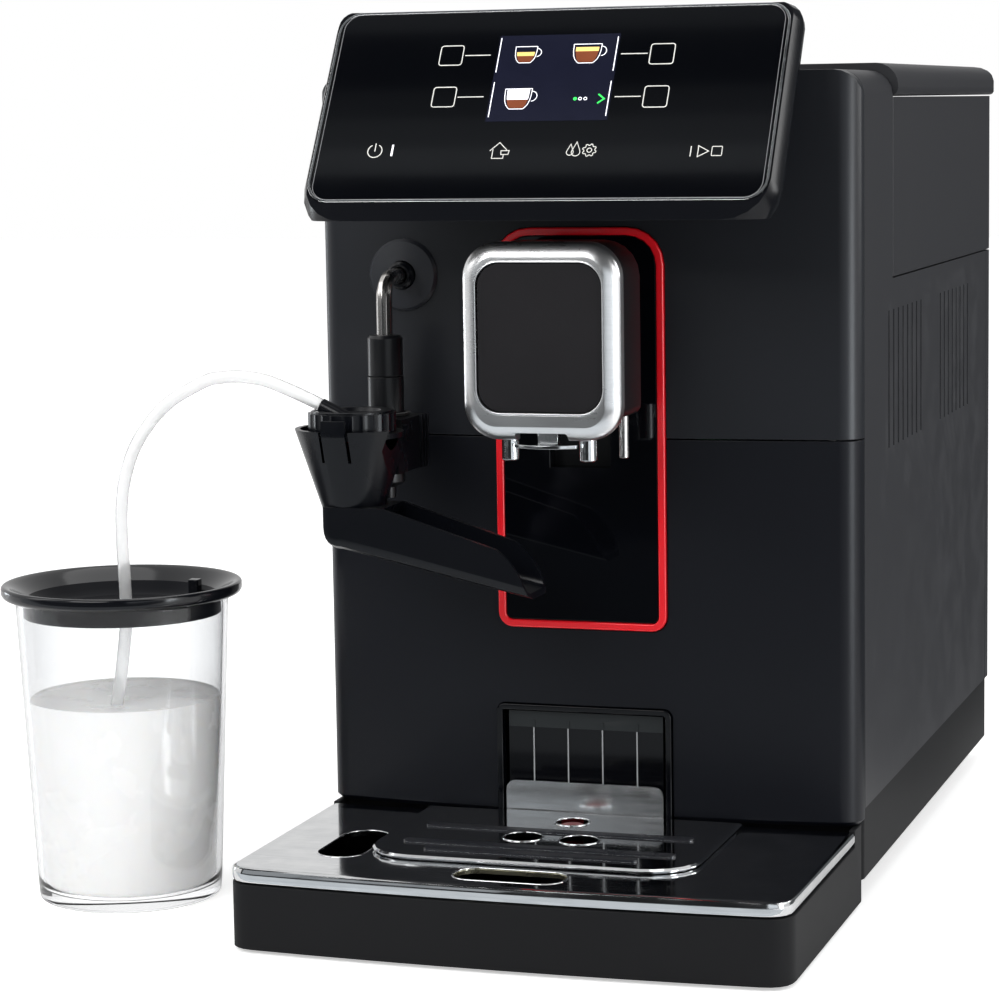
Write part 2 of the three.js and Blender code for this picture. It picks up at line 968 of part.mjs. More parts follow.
function makeInlet() {
  const face = body.rear + inlet.flange;
  const cup = outline([
    [inlet.x - inlet.cupX, inlet.z - inlet.cupZ],
    [inlet.x + inlet.cupX, inlet.z - inlet.cupZ],
    [inlet.x + inlet.cupX, inlet.z + inlet.cupZ - inlet.cupCorner],
    [inlet.x + inlet.cupX - inlet.cupCorner, inlet.z + inlet.cupZ],
    [inlet.x - inlet.cupX + inlet.cupCorner, inlet.z + inlet.cupZ],
    [inlet.x - inlet.cupX, inlet.z + inlet.cupZ - inlet.cupCorner],
  ]);
  const shell = cut(
    join(
      box(
        [inlet.x - inlet.halfX, body.rear + gap, inlet.z - inlet.halfZ],
        [inlet.x + inlet.halfX, face, inlet.z + inlet.halfZ],
      ),
      box(
        [inlet.x - inlet.bodyX, body.rear - inlet.depth, inlet.z - inlet.bodyZ],
        [inlet.x + inlet.bodyX, face - inlet.flange / 2, inlet.z + inlet.bodyZ],
      ),
    ),
    prism(cup, "y", face - inlet.cupDepth, face + overrun),
  );
  const root = face - inlet.cupDepth - inlet.pinRise;
  const pins = [-1, 0, 1].map((side) => {
    const x = inlet.x + side * inlet.pinX;
    const z = inlet.z + (side === 0 ? inlet.pinRise : -inlet.pinRise);
    return box(
      [x - inlet.pinHalf, root, z - inlet.pinHigh],
      [x + inlet.pinHalf, root + inlet.pinLong, z + inlet.pinHigh],
    );
  });
  piece("power_inlet", join(shell, ...pins), "softBlack");

  const roomX = rocker.halfX + gap;
  const roomZ = rocker.halfZ + rocker.room;
  const outX = roomX + rocker.room;
  const outZ = roomZ + rocker.room;
  const frame = cut(
    join(
      box(
        [rocker.x - outX - rocker.flange, body.rear + gap, rocker.z - outZ - rocker.flange],
        [rocker.x + outX + rocker.flange, body.rear + rocker.room, rocker.z + outZ + rocker.flange],
      ),
      box(
        [rocker.x - outX, body.rear - rocker.depth, rocker.z - outZ],
        [rocker.x + outX, body.rear + rocker.room / 2, rocker.z + outZ],
      ),
    ),
    box(
      [rocker.x - roomX, body.rear - rocker.depth + rocker.room, rocker.z - roomZ],
      [rocker.x + roomX, body.rear + overrun, rocker.z + roomZ],
    ),
  );
  piece("switch_housing", frame, "softBlack");
  const cap = outline([
    [0, -rocker.back],
    [rocker.proud - rocker.room, -rocker.halfZ],
    [rocker.proud, -rocker.halfZ + rocker.room],
    [rocker.proud - rocker.dish, 0],
    [rocker.proud, rocker.halfZ - rocker.room],
    [rocker.proud - rocker.room, rocker.halfZ],
    [0, rocker.back],
    [-rocker.back, 0],
  ]);
  const geometry = prismGeometry(cap, "x", -rocker.halfX, rocker.halfX);
  geometry.rotateX(THREE.MathUtils.degToRad(rocker.tilt));
  geometry.translate(rocker.x, body.rear - rocker.axisInset, rocker.z);
  piece("power_switch", solidOf(geometry), "softBlack");
}

function makeServiceDoor() {
  const radius = body.wall / 2;
  const x = -half + radius;
  const leaf = box([-half, door.front, door.low], [-half + body.wall, door.axisY, door.high]);
  const edge = prism(disc(x, door.axisY, radius, foot.sides), "z", door.low, door.high);
  const reach = door.play + door.pinLength - gap;
  const pins = prism(
    disc(x, door.axisY, door.pin, door.sides),
    "z",
    door.low - reach,
    door.high + reach,
  );
  piece("service_door", join(leaf, edge, pins), "matteBlack");
}

// The control panel's own plane: x stays, y runs up the glass and z out of it
const glassHigh = Math.hypot(panel.head.y - panel.foot.y, panel.head.z - panel.foot.z);
const slope = Math.atan2(panel.head.z - panel.foot.z, panel.head.y - panel.foot.y);
const panelGroup = new THREE.Group();
panelGroup.position.set(0, panel.foot.y, panel.foot.z);
panelGroup.rotation.x = slope;
panelGroup.updateMatrix();
group.add(panelGroup);

const inPanel = (geometry) => solidOf(geometry.applyMatrix4(panelGroup.matrix.clone().invert()));

function glassOutline(inset) {
  const side = panel.glassHalf - inset;
  return roundedRect(-side, inset, side, glassHigh - inset, panel.glassRound - inset);
}

function makePanel() {
  const border = panel.sideBevel + 2 * gap;
  const side = panel.glassHalf + border;
  const slab = prism(
    roundedRect(-side, -panel.chin, side, glassHigh + border, [
      panel.chinRound,
      panel.chinRound,
      panel.glassRound,
      panel.glassRound,
    ]),
    "z",
    -panel.depth,
    -gap,
    { size: panel.sideBevel, depth: panel.bevelDepth, steps: 1 },
  );
  const stem = inPanel(
    prismGeometry(
      outline([
        [neck.lowFront, neck.low],
        [0, neck.low],
        [0, neck.high],
        [neck.highFront, neck.high],
      ]),
      "x",
      -neck.half,
      neck.half,
    ),
  );
  const skin = inPanel(prismGeometry(frontPlan(-gap, half), "z", 0, body.top + overrun));
  const under = inPanel(
    prismGeometry(roundedRect(-half, -half, half, half), "z", 0, panel.underside),
  );
  const over = inPanel(
    prismGeometry(roundedRect(-half, -half, half, half), "z", panel.head.z, 2 * panel.head.z),
  );
  const pocket = prism(glassOutline(-gap), "z", -panel.rimDepth - gap, overrun);
  const well = prism(screenOutline(screen.margin + gap), "z", -panel.pocket, overrun);
  const housing = cut(join(slab, stem), skin, under, over, pocket, well);
  panelGroup.add(piece("control_housing", housing, "softBlack"));
  const bezel = cut(
    prism(glassOutline(0), "z", -panel.rimDepth, 0),
    prism(glassOutline(panel.rim), "z", -panel.rimDepth - overrun, overrun),
  );
  panelGroup.add(piece("control_bezel", bezel, "satinChrome"));
  const back = -panel.rimDepth;
  const sheet = prism(glassOutline(panel.rim + gap), "z", back, -panel.glassDrop);
  panelGroup.add(piece("control_glass", sheet, "glossBlack"));
  const display = prism(screenOutline(screen.margin), "z", -panel.pocket + gap, back - gap);
  panelGroup.add(piece("display_module", display, "smoke"));
}

function screenOutline(margin) {
  return roundedRect(
    screen.left - margin,
    screen.low - margin,
    screen.right + margin,
    screen.high + margin,
  );
}

function makeWand() {
  const hole = wand.collar + gap;
  const rosette = turnedPart(
    [
      [hole, wand.discFace],
      [wand.discRadius - wand.discEdge, wand.discFace + wand.discEdge / 2],
      [wand.discRadius, wand.discFace + 2 * wand.discEdge],
      [wand.discRadius, 0],
      [hole, 0],
      [hole, wand.discFace],
    ],
    wand.discSides,
    "y",
    wand.x,
    wand.z,
  );
  const spigot = turnedPart(
    [
      [hole, wand.discFace + wand.discEdge],
      [wand.spigot, wand.discFace + wand.discEdge],
      [wand.spigot, wand.spigotRear],
      [hole, wand.spigotRear],
      [hole, wand.discFace + wand.discEdge],
    ],
    wand.discSides,
    "y",
    wand.x,
    wand.z,
  );
  const skin = prism(frontPlan(-gap, half), "z", 0, body.top);
  piece("wand_escutcheon", join(cut(rosette, skin), spigot), "softBlack");

  const bore = wand.pipeRadius + gap;
  const collar = turnedPart(
    [
      [bore, wand.collarFace],
      [wand.collar - wand.discEdge, wand.collarFace],
      [wand.collar, wand.collarFace + wand.discEdge],
      [wand.collar, wand.collarRear],
      [bore, wand.collarRear],
      [bore, wand.collarFace],
    ],
    wand.sides,
    "y",
    wand.x,
    wand.z,
  );
  piece("steam_joint", collar, "softBlack");

  const elbow = new THREE.CurvePath();
  const corner = [
    vector(wand.x, wand.collarRear - wand.discEdge, wand.z),
    vector(wand.x, wand.y + wand.bend, wand.z),
    vector(wand.x, wand.y, wand.z),
    vector(wand.x, wand.y, wand.z - wand.bend),
    vector(wand.x, wand.y, wand.sleeveTop - wand.sleeveDepth + gap),
  ];
  elbow.add(new THREE.LineCurve3(corner[0], corner[1]));
  elbow.add(new THREE.QuadraticBezierCurve3(corner[1], corner[2], corner[3]));
  elbow.add(new THREE.LineCurve3(corner[3], corner[4]));
  piece("steam_pipe", bar(elbow, wand.pipeRadius, wand.pipeSides, wand.pipeSteps), "steel");

  const grip = lathe(
    [
      [0, wand.sleeveJoint + gap],
      [wand.sleeveRadius, wand.sleeveJoint + gap],
      [wand.sleeveRadius, wand.sleeveTop - wand.discEdge],
      [wand.sleeveRadius - wand.discEdge, wand.sleeveTop],
      [bore, wand.sleeveTop],
      [bore, wand.sleeveTop - wand.sleeveDepth],
      [0, wand.sleeveTop - wand.sleeveDepth],
    ],
    wand.sides,
  );
  piece("wand_grip_sleeve", grip, "softBlack").position.set(wand.x, wand.y, 0);
  const tip = lathe(
    [
      [0, wand.nozzleFoot],
      [wand.nozzleRadius, wand.nozzleFoot],
      [wand.nozzleRadius, wand.tipFoot - wand.discEdge],
      [wand.tipRadius - wand.discEdge, wand.tipFoot],
      [wand.tipRadius, wand.tipFoot + wand.discEdge],
      [wand.tipRadius, wand.sleeveJoint],
      [0, wand.sleeveJoint],
    ],
    wand.sides,
  );
  piece("wand_tip_sleeve", tip, "softBlack").position.set(wand.x, wand.y, 0);
}

// Side view of the chute's floor, drawn in by an inset and left open far above and past the tip
function chuteFloor(inset) {
  const left = chute.heelX + inset;
  const fall = (chute.tipFootZ - chute.heelFootZ) / (chute.tipFootX - chute.heelFootX);
  const end = chute.tipFootX + 2 * overrun;
  const heel = new THREE.QuadraticBezierCurve(
    new THREE.Vector2(left, chute.heelZ + inset),
    new THREE.Vector2(left, chute.heelFootZ + inset),
    new THREE.Vector2(chute.heelFootX, chute.heelFootZ + inset),
  ).getPoints(chute.steps);
  return new THREE.Shape([
    new THREE.Vector2(left, frother.capTop),
    ...heel,
    new THREE.Vector2(end, chute.tipFootZ + fall * (end - chute.tipFootX) + inset),
    new THREE.Vector2(end, frother.capTop),
  ]);
}

// Side view of all that lies under the chute's rim
function chuteRim() {
  const left = chute.heelX - overrun;
  const low = chute.tipFootZ - overrun;
  const mouth = new THREE.QuadraticBezierCurve(
    new THREE.Vector2(chute.tipX, chute.tipZ),
    new THREE.Vector2(chute.lipX, chute.lipZ),
    new THREE.Vector2(chute.rimX, chute.rimZ),
  ).getPoints(chute.steps);
  return new THREE.Shape([
    new THREE.Vector2(left, low),
    new THREE.Vector2(chute.tipFootX, low),
    new THREE.Vector2(chute.tipFootX, chute.tipFootZ),
    ...mouth,
    new THREE.Vector2(chute.shoulderX, chute.shoulderZ),
    new THREE.Vector2(left, chute.shoulderZ),
  ]);
}

function makeFrotherBody() {
  const { x, y } = frother;
  const heelRadius = x - chute.heelX;
  const inside = frother.rimRadius - frother.wall;
  const bowl = lathe(
    [
      [0, chute.heelZ],
      [heelRadius, chute.heelZ],
      [frother.rimRadius, frother.rimTop],
      [0, frother.rimTop],
    ],
    frother.sides,
    x,
    y,
  );
  const round = (inset) => ({ size: chute.round - inset, depth: chute.round - inset, steps: 2 });
  const channel = prism(chuteFloor(0), "y", y - chute.half, y + chute.half, round(0)).intersect(
    prism(chuteRim(), "y", y - half, y + half),
  );
  const socket = join(
    box(
      [bracket.left, y + frother.capRadius / 2, bracket.low],
      [bracket.right, bracket.rear, bracket.high],
    ),
    ...[0, 1, 2].map((i) =>
      box(
        [bracket.right - bracket.rib, bracket.rear - (3 * i + 1) * bracket.rib, bracket.low],
        [bracket.right + bracket.rib, bracket.rear - 3 * i * bracket.rib, bracket.high],
      ),
    ),
  );
  const tongue = lathe(
    [
      [inside, frother.ledgeZ + frother.ledge],
      [frother.rimRadius - gap, frother.ledgeZ + frother.ledge],
      [frother.rimRadius, frother.rimTop],
      [frother.rimRadius, frother.tongueTop],
      [inside, frother.tongueTop],
      [inside, frother.ledgeZ + frother.ledge],
    ],
    frother.sides,
    x,
    y,
  ).intersect(
    box(
      [x - frother.tongueHalf, y - frother.rimRadius - overrun, frother.ledgeZ],
      [x + frother.tongueHalf, y, frother.capTop],
    ),
  );
  const funnel = lathe(
    [
      [0, chute.heelFootZ + frother.wall],
      [frother.outlet, chute.heelFootZ + frother.wall],
      [frother.outlet, frother.outletTop],
      [inside - frother.ledge, frother.ledgeZ],
      [inside, frother.ledgeZ],
      [inside, frother.capTop],
      [0, frother.capTop],
    ],
    frother.sides,
    x,
    y,
  );
  const sideIn = chute.half - chute.wall;
  const roof = chute.shoulderZ - 2 * frother.wall;
  const channelRoom = prism(
    chuteFloor(chute.wall),
    "y",
    y - sideIn,
    y + sideIn,
    round(chute.wall),
  ).intersect(
    prism(
      outline([
        [chute.heelX, chute.tipFootZ - overrun],
        [overrun, chute.tipFootZ - overrun],
        [overrun, frother.capTop],
        [chute.shoulderX, frother.capTop],
        [chute.shoulderX, chute.shoulderZ],
        [chute.shoulderX - frother.wall, roof],
        [chute.heelX, roof],
      ]),
      "y",
      y - half,
      y + half,
    ),
  );
  const slots = [-1, 1].map((side) => {
    const near = side * frother.tongueHalf;
    const far = side * (frother.tongueHalf + frother.slot);
    return box(
      [x + Math.min(near, far), y - frother.rimRadius - overrun, frother.slotFoot],
      [x + Math.max(near, far), y - inside / 2, frother.capTop],
    );
  });
  const bore = prism(
    disc(wand.x, wand.y, wand.tipRadius + bracket.rubber + 2 * gap, wand.sides),
    "z",
    bracket.low - overrun,
    bracket.high + overrun,
  );
  const outer = join(bowl, channel, socket);
  const hollowed = cut(outer, funnel, channelRoom, ...slots, bore);
  piece("frother_body", join(hollowed, tongue), "softBlack");
}

function makeFrotherCap() {
  const { x, y } = frother;
  const seat = frother.ledgeZ + gap;
  const flange = frother.rimRadius - frother.wall - gap;
  const knurl = Array.from({ length: 2 * frother.capTurn }, (_, i) => {
    const angle = (Math.PI * i) / frother.capTurn;
    const radius = frother.capRadius - (i % 2) * frother.flute;
    return [x + radius * Math.cos(angle), y + radius * Math.sin(angle)];
  });
  const dome = lathe(
    [
      [0, seat],
      [flange, seat],
      [flange, seat + frother.wall],
      [frother.capRadius - 2 * frother.flute, seat + frother.wall],
      [frother.capRadius - 2 * frother.flute, frother.capTop],
      [frother.capDish, frother.capTop],
      [frother.capDish - frother.flute, frother.capTop - 2 * frother.flute],
      [0, frother.capTop - 2 * frother.flute],
    ],
    frother.sides,
    x,
    y,
  );
  const grip = cut(
    prism(outline(knurl), "z", seat + frother.wall / 2, frother.capTop - frother.flute),
    prism(disc(x, y, frother.capDish, frother.sides), "z", 0, frother.capTop + overrun),
  );
  const toward = vector(nipple.towardX, 0, nipple.towardZ).normalize();
  const mouth = vector(nipple.x, nipple.y, nipple.z);
  const root = mouth.clone().addScaledVector(toward, -nipple.length);
  const port = bar(new THREE.LineCurve3(root, mouth), nipple.radius, nipple.sides, 1);
  const hoseRoom = bar(hosePath, hose.hole, hose.sides, hose.steps);
  piece("frother_cap", cut(join(dome, grip, port), hoseRoom), "softBlack");

  const inner = wand.tipRadius + gap;
  const rubber = lathe(
    [
      [inner, bracket.low + gap],
      [inner + bracket.rubber, bracket.low + gap],
      [inner + bracket.rubber, bracket.high + gap],
      [inner + 2 * bracket.rubber, bracket.high + gap],
      [inner + 2 * bracket.rubber, bracket.high + gap + bracket.rubber],
      [inner, bracket.high + gap + bracket.rubber],
      [inner, bracket.low + gap],
    ],
    wand.sides,
  );
  piece("frother_socket", rubber, "rubber").position.set(wand.x, wand.y, 0);
}

function makeSpout() {
  const seat = spout.frameRear + gap;
  const face = (inset) =>
    roundedRect(
      -spout.halfX + inset,
      spout.low + inset,
      spout.halfX - inset,
      spout.high - inset,
      spout.round - inset,
    );
  const insertFace = (inset) =>
    roundedRect(
      -spout.insertHalf + inset,
      spout.insertLow + inset,
      spout.insertHalf - inset,
      spout.insertHigh - inset,
      spout.insertRound - inset,
    );
  const frame = cut(
    prism(face(0), "y", spout.face, spout.frameRear + spout.bevelDepth, {
      size: spout.bevel,
      depth: spout.bevelDepth,
      steps: 1,
    }),
    box([-half, spout.frameRear, spout.low - overrun], [half, 0, spout.high + overrun]),
    prism(insertFace(-gap), "y", spout.face - overrun, 0),
    box(
      [-spout.notchHalf, spout.face - overrun, spout.low - overrun],
      [spout.notchHalf, 0, spout.notchTop],
    ),
  );
  piece("spout_frame", frame, "chrome");
  const insert = prism(insertFace(0), "y", spout.face + spout.insertDrop, spout.frameRear);
  piece("spout_insert", insert, "softBlack");

  const side = spout.halfX - spout.blockInset;
  const block = prism(
    roundedRect(-side, spout.blockFoot, side, spout.high - spout.blockInset, [
      spout.blockRound,
      spout.blockRound,
      spout.round,
      spout.round,
    ]),
    "y",
    seat,
    spout.blockRear,
  );
  const shutterFront = track.flangeFront + track.flangeDepth + gap;
  const stem = box(
    [-spout.neckHalf, spout.blockRear - overrun, spout.neckLow],
    [spout.neckHalf, shutterFront + spout.shutterDepth, spout.neckHigh],
  );
  const shutter = box(
    [-spout.shutterHalf, shutterFront, slotLow - track.slotRoom],
    [spout.shutterHalf, shutterFront + spout.shutterDepth, slotHigh + spout.travel],
  );
  piece("spout_housing", join(block, stem, shutter), "softBlack");

  const tube = (size) => {
    const tip = spout.blockFoot - size.drop;
    return lathe(
      [
        [0, spout.blockFoot],
        [size.radius, spout.blockFoot],
        [size.radius, tip + size.chamfer],
        [size.radius - size.chamfer, tip],
        [size.bore, tip],
        [size.bore, tip + size.boreDepth],
        [0, tip + size.boreDepth],
      ],
      size.sides,
    );
  };
  piece("nozzle_left", tube(nozzle), "chrome").position.set(-nozzle.x, nozzle.y, 0);
  piece("nozzle_right", tube(nozzle), "chrome").position.set(nozzle.x, nozzle.y, 0);
  piece("hot_water_tube", tube(waterTube), "steel").position.set(waterTube.x, waterTube.y, 0);

  const edge = (middle, end) =>
    new THREE.QuadraticBezierCurve(
      new THREE.Vector2(-lip.half, end),
      new THREE.Vector2(0, 2 * middle - end),
      new THREE.Vector2(lip.half, end),
    ).getPoints(lip.steps);
  const low = spout.blockFoot - lip.drop;
  const high = low + lip.thick;
  const inward = edge(lip.front + lip.band, lip.rear + lip.band).reverse();
  const crescent = prism(new THREE.Shape([...edge(lip.front, lip.rear), ...inward]), "z", low, high);
  const holder = join(
    box([-lip.stem, lip.front + lip.band / 2, low], [lip.stem, lip.stemRear, high]),
    box([-lip.stem, lip.stemFront, low], [lip.stem, lip.stemRear, spout.blockFoot]),
  );
  piece("spout_lip", join(crescent, holder), "chrome");
}

const trayPlan = (inset, rear) => bowedPlan({ ...tray, half: half - tray.inset }, inset, rear);

function makeTray() {
  const floor = tray.low + tray.floor;
  const shelfTop = tray.shelfLow + tray.shelfDepth;
  const rearPart = box(
    [-half, tray.backFront, tray.top - overrun],
    [half, tray.rear + overrun, tray.backTop + overrun],
  );
  const shell = cut(
    join(
      prism(trayPlan(0, tray.rear), "z", tray.low, tray.top),
      prism(trayPlan(0, tray.rear), "z", tray.top - overrun, tray.backTop).intersect(rearPart),
    ),
    prism(trayPlan(tray.wall, tray.rear - tray.wall), "z", floor, tray.backTop + overrun),
    box(
      [-drawer.half - gap, tray.rear - tray.wall - overrun, shelfTop],
      [drawer.half + gap, tray.rear + overrun, tray.backTop + overrun],
    ),
  );
  const shelf = box(
    [-tray.shelfHalf, tray.shelfFront, tray.shelfLow],
    [tray.shelfHalf, tray.shelfRear, shelfTop],
  );
  const lipIn = tray.shelfHalf - tray.shelfDepth;
  const lips = cut(
    box(
      [-tray.shelfHalf, tray.rear - tray.wall, tray.shelfLow],
      [tray.shelfHalf, tray.shelfRear, shelfTop + tray.shelfLip],
    ),
    box(
      [-lipIn, tray.rear - tray.wall - overrun, shelfTop],
      [lipIn, tray.shelfRear - tray.shelfDepth, shelfTop + overrun],
    ),
  );
  piece("drip_tray", join(shell, shelf, lips), "matteBlack");

  const sheet = prism(trayPlan(0, lid.rear), "z", lid.edgeLow, lid.top, {
    size: lid.round,
    depth: lid.round,
    steps: 2,
  });
  const hollow = prism(
    trayPlan(lid.edge, lid.rear - lid.edge),
    "z",
    lid.edgeLow - overrun,
    lid.top - lid.thick,
  );
  const finger = roundedRect(
    fingerHole.x - fingerHole.wide / 2,
    fingerHole.y - fingerHole.long / 2,
    fingerHole.x + fingerHole.wide / 2,
    fingerHole.y + fingerHole.long / 2,
    fingerHole.wide / 2,
  );
  const notch = roundedRect(
    -frontNotch.half,
    frontNotch.front,
    frontNotch.half,
    frontNotch.rear,
    frontNotch.round,
  );
  const through = (shape) => prism(shape, "z", 0, lid.top + overrun);
  const well = roundedRect(-lid.well, lid.wellFront, lid.well, lid.wellRear, fingerHole.wide / 2);
  const drawerRoom = roundedRect(
    -drawer.half - gap,
    drawer.front - drawer.rib - gap,
    drawer.half + gap,
    tray.rear,
  );
  const holes = [finger, notch, well, drawerRoom].map(through);
  const top = cut(sheet, hollow, ...holes);
  piece("tray_plate", top, "chrome");
}

function makeCupPlate() {
  const low = lid.top + gap;
  const leaf = prism(
    roundedRect(-plate.half, plate.front, plate.half, plate.rear, [plate.round, plate.round, 0, 0]),
    "z",
    low,
    plate.top,
    { size: plate.edge, depth: plate.edge, steps: 1 },
  );
  const ribs = [
    [bars.rearY, bars.reach],
    [bars.middleY, bars.reach],
    [bars.frontY, bars.frontReach],
  ].map(([y, reach]) =>
    prism(
      roundedRect(-reach, y - bars.half, reach, y + bars.half, bars.half, bars.steps),
      "z",
      low + plate.edge,
      plate.top + bars.rise,
    ),
  );
  const tongue = box(
    [-plate.tabHalf, plate.rear - 2 * plate.edge, low],
    [plate.tabHalf, plate.tabRear, plate.top - plate.edge / 2],
  );
  const tab = prism(
    roundedRect(-plate.tabHalf, low, plate.tabHalf, plate.tabTop, [
      0,
      0,
      plate.tabRound,
      plate.tabRound,
    ]),
    "y",
    plate.tabFront,
    plate.tabRear,
  );
  const holes = [
    disc(-plate.dripX, plate.dripY, plate.dripRadius, plate.holeSides),
    disc(plate.dripX, plate.dripY, plate.dripRadius, plate.holeSides),
    disc(0, floater.y, plate.floatHole, plate.holeSides),
  ].map((shape) => prism(shape, "z", 0, plate.tabTop));
  piece("cup_plate", cut(join(leaf, ...ribs, tongue, tab), ...holes), "chrome");

  const seat = tray.low + tray.floor + gap;
  const buoy = lathe(
    [
      [0, seat],
      [floater.skirt, seat],
      [floater.skirt, floater.skirtTop],
      [floater.radius, floater.skirtTop],
      [floater.radius, floater.top],
      [0, floater.top],
    ],
    floater.sides,
  );
  piece("tray_float", buoy, "red").position.set(0, floater.y, 0);
}

function makeDrawer() {
  const { half: side, wall } = drawer;
  const bin = cut(
    join(
      box([-side, drawer.front, drawer.low], [side, drawer.rear, drawer.top]),
      box([-side, drawer.front, drawer.low], [side, drawer.front + wall, drawer.frontTop]),
    ),
    prism(
      roundedRect(-side + wall, drawer.front + wall, side - wall, drawer.rear - wall, drawer.round),
      "z",
      drawer.low + wall,
      drawer.frontTop + overrun,
    ),
  );
  const ribs = Array.from({ length: drawer.ribCount }, (_, i) => {
    const x = (i - (drawer.ribCount - 1) / 2) * drawer.ribPitch;
    return box(
      [x - drawer.ribHalf, drawer.front - drawer.rib, drawer.ribLow],
      [x + drawer.ribHalf, drawer.front + wall / 2, drawer.top],
    );
  });
  piece("grounds_container", join(bin, ...ribs), "softBlack");
}

function makeTank() {
  const plan = (inset) =>
    roundedRect(tank.left + inset, tank.front + inset, half - inset, body.rear - inset, [
      tank.round,
      tank.round,
      body.rearRound,
      tank.round,
    ]);
  const hollow = prism(plan(tank.wall), "z", tank.low + tank.wall, tankTop + overrun);
  const outlet = prism(disc(tank.outletX, outletY, tank.outlet, foot.sides), "z", 0, tankTop);
  const shell = cut(prism(plan(0), "z", tank.low, tankTop), hollow, outlet);
  piece("water_tank", shell, "smoke");

  const seat = tank.low + tank.wall + gap;
  const stem = tank.outlet - gap;
  const valve = lathe(
    [
      [0, tank.low - tank.valveDrop],
      [stem, tank.low - tank.valveDrop],
      [stem, seat],
      [stem + tank.wall, seat],
      [stem + tank.wall, seat + tank.wall],
      [0, seat + tank.wall],
    ],
    foot.sides,
  );
  piece("tank_valve", valve, "rubber").position.set(tank.outletX, outletY, 0);

  const right = half + tankLid.over;
  const back = body.rear + tankLid.over;
  const low = tankTop + 2 * gap;
  const top = low + tankLid.high;
  const { front } = tank;
  const { round, skin, left } = tankLid;
  const edges = [0, tankLid.lip, round, 0];
  const lidPart = prism(roundedRect(left, low, right, top, edges), "y", front, back)
    .intersect(prism(roundedRect(front, low, back, top, edges), "x", left, right))
    .intersect(prism(roundedRect(left, front, right, back, [0, 0, round, 0]), "z", low, top));
  const under = prism(
    roundedRect(left + skin, front + skin, right - skin, back - skin, body.rearRound),
    "z",
    low - overrun,
    top - skin,
  );
  piece("tank_lid", cut(lidPart, under), "matteBlack");
}

// A solid between two outlines of as many points, at two heights
function loft(lowShape, low, highShape, high) {
  const rings = [lowShape, highShape].map((shape) => shape.getPoints());
  const count = rings[0].length;
  const places = rings.flatMap((outer, i) => outer.flatMap((p) => [p.x, p.y, i ? high : low]));
  const faces = [];
  for (let i = 0; i < count; i++) {
    const next = (i + 1) % count;
    faces.push(i, next, count + next, i, count + next, count + i);
    if (i > 1) faces.push(0, i, i - 1, count, count + i - 1, count + i);
  }
  const geometry = new THREE.BufferGeometry();
  geometry.setAttribute("position", new THREE.Float32BufferAttribute(places, 3));
  geometry.setIndex(faces);
  return solidOf(geometry);
}

function makeHopper() {
  const { right, front, wall, round } = hopper;
  const left = hopperLeft;
  const rear = hopperRear;
  const plan = (inset) =>
    roundedRect(left + inset, front + inset, right - inset, rear - inset, round - inset, hopper.steps);
  const funnel = (inset, high, low) => {
    const mouth = roundedRect(
      left + wall + inset,
      hopper.shelfRear + inset,
      right - wall - inset,
      rear - wall - inset,
      round,
      hopper.steps,
    );
    const throat = hopper.throat - inset;
    const x = hopper.throatX;
    const y = hopper.throatY;
    const foot = roundedRect(x - throat, y - throat, x + throat, y + throat, throat, hopper.steps);
    return loft(foot, low, mouth, high);
  };
  const flange = prism(
    plan(-hopper.flange),
    "z",
    body.top - body.wall - gap - hopper.flangeDepth,
    body.top - body.wall - gap,
  );
  const shell = cut(
    join(
      prism(plan(0), "z", hopper.floor, body.top),
      funnel(0, hopper.floor + wall / 2, hopper.low),
      flange,
    ),
    prism(plan(wall), "z", hopper.floor + wall, body.top + overrun),
    funnel(wall, hopper.floor + 2 * wall, hopper.low - overrun / 2),
  );
  piece("bean_hopper", shell, "smoke");

  const { over, plug, plugWall } = hopperLid;
  const low = body.top + gap;
  const top = low + hopperLid.high;
  const leaf = prism(plan(-over), "z", low, top, {
    size: hopperLid.edge,
    depth: hopperLid.edge,
    steps: 1,
  });
  const ringPart = cut(
    prism(plan(wall + gap), "z", low - plug, low + gap),
    prism(plan(wall + gap + plugWall), "z", low - plug - overrun, low - gap),
  );
  const pull = prism(
    disc(hopper.throatX, front - over, hopperLid.pull, foot.sides),
    "z",
    top - hopperLid.pullDepth,
    top + overrun,
  );
  piece("hopper_lid", cut(join(leaf, ringPart), pull), "smoke");

  const seat = hopper.floor + wall + gap;
  const knob = lathe(
    [
      [0, seat],
      [adjuster.radius, seat],
      [adjuster.radius - adjuster.taper, seat + adjuster.height],
      [0, seat + adjuster.height],
    ],
    adjuster.sides,
  );
  const grip = box(
    [-adjuster.grip, -adjuster.turn, seat + adjuster.height / 2],
    [adjuster.grip, adjuster.turn, seat + adjuster.height + adjuster.gripHeight],
  );
  const turner = piece("grinder_adjuster", join(knob, grip), "red");
  turner.position.set(hopperLeft + adjuster.inset, adjuster.y, 0);
}

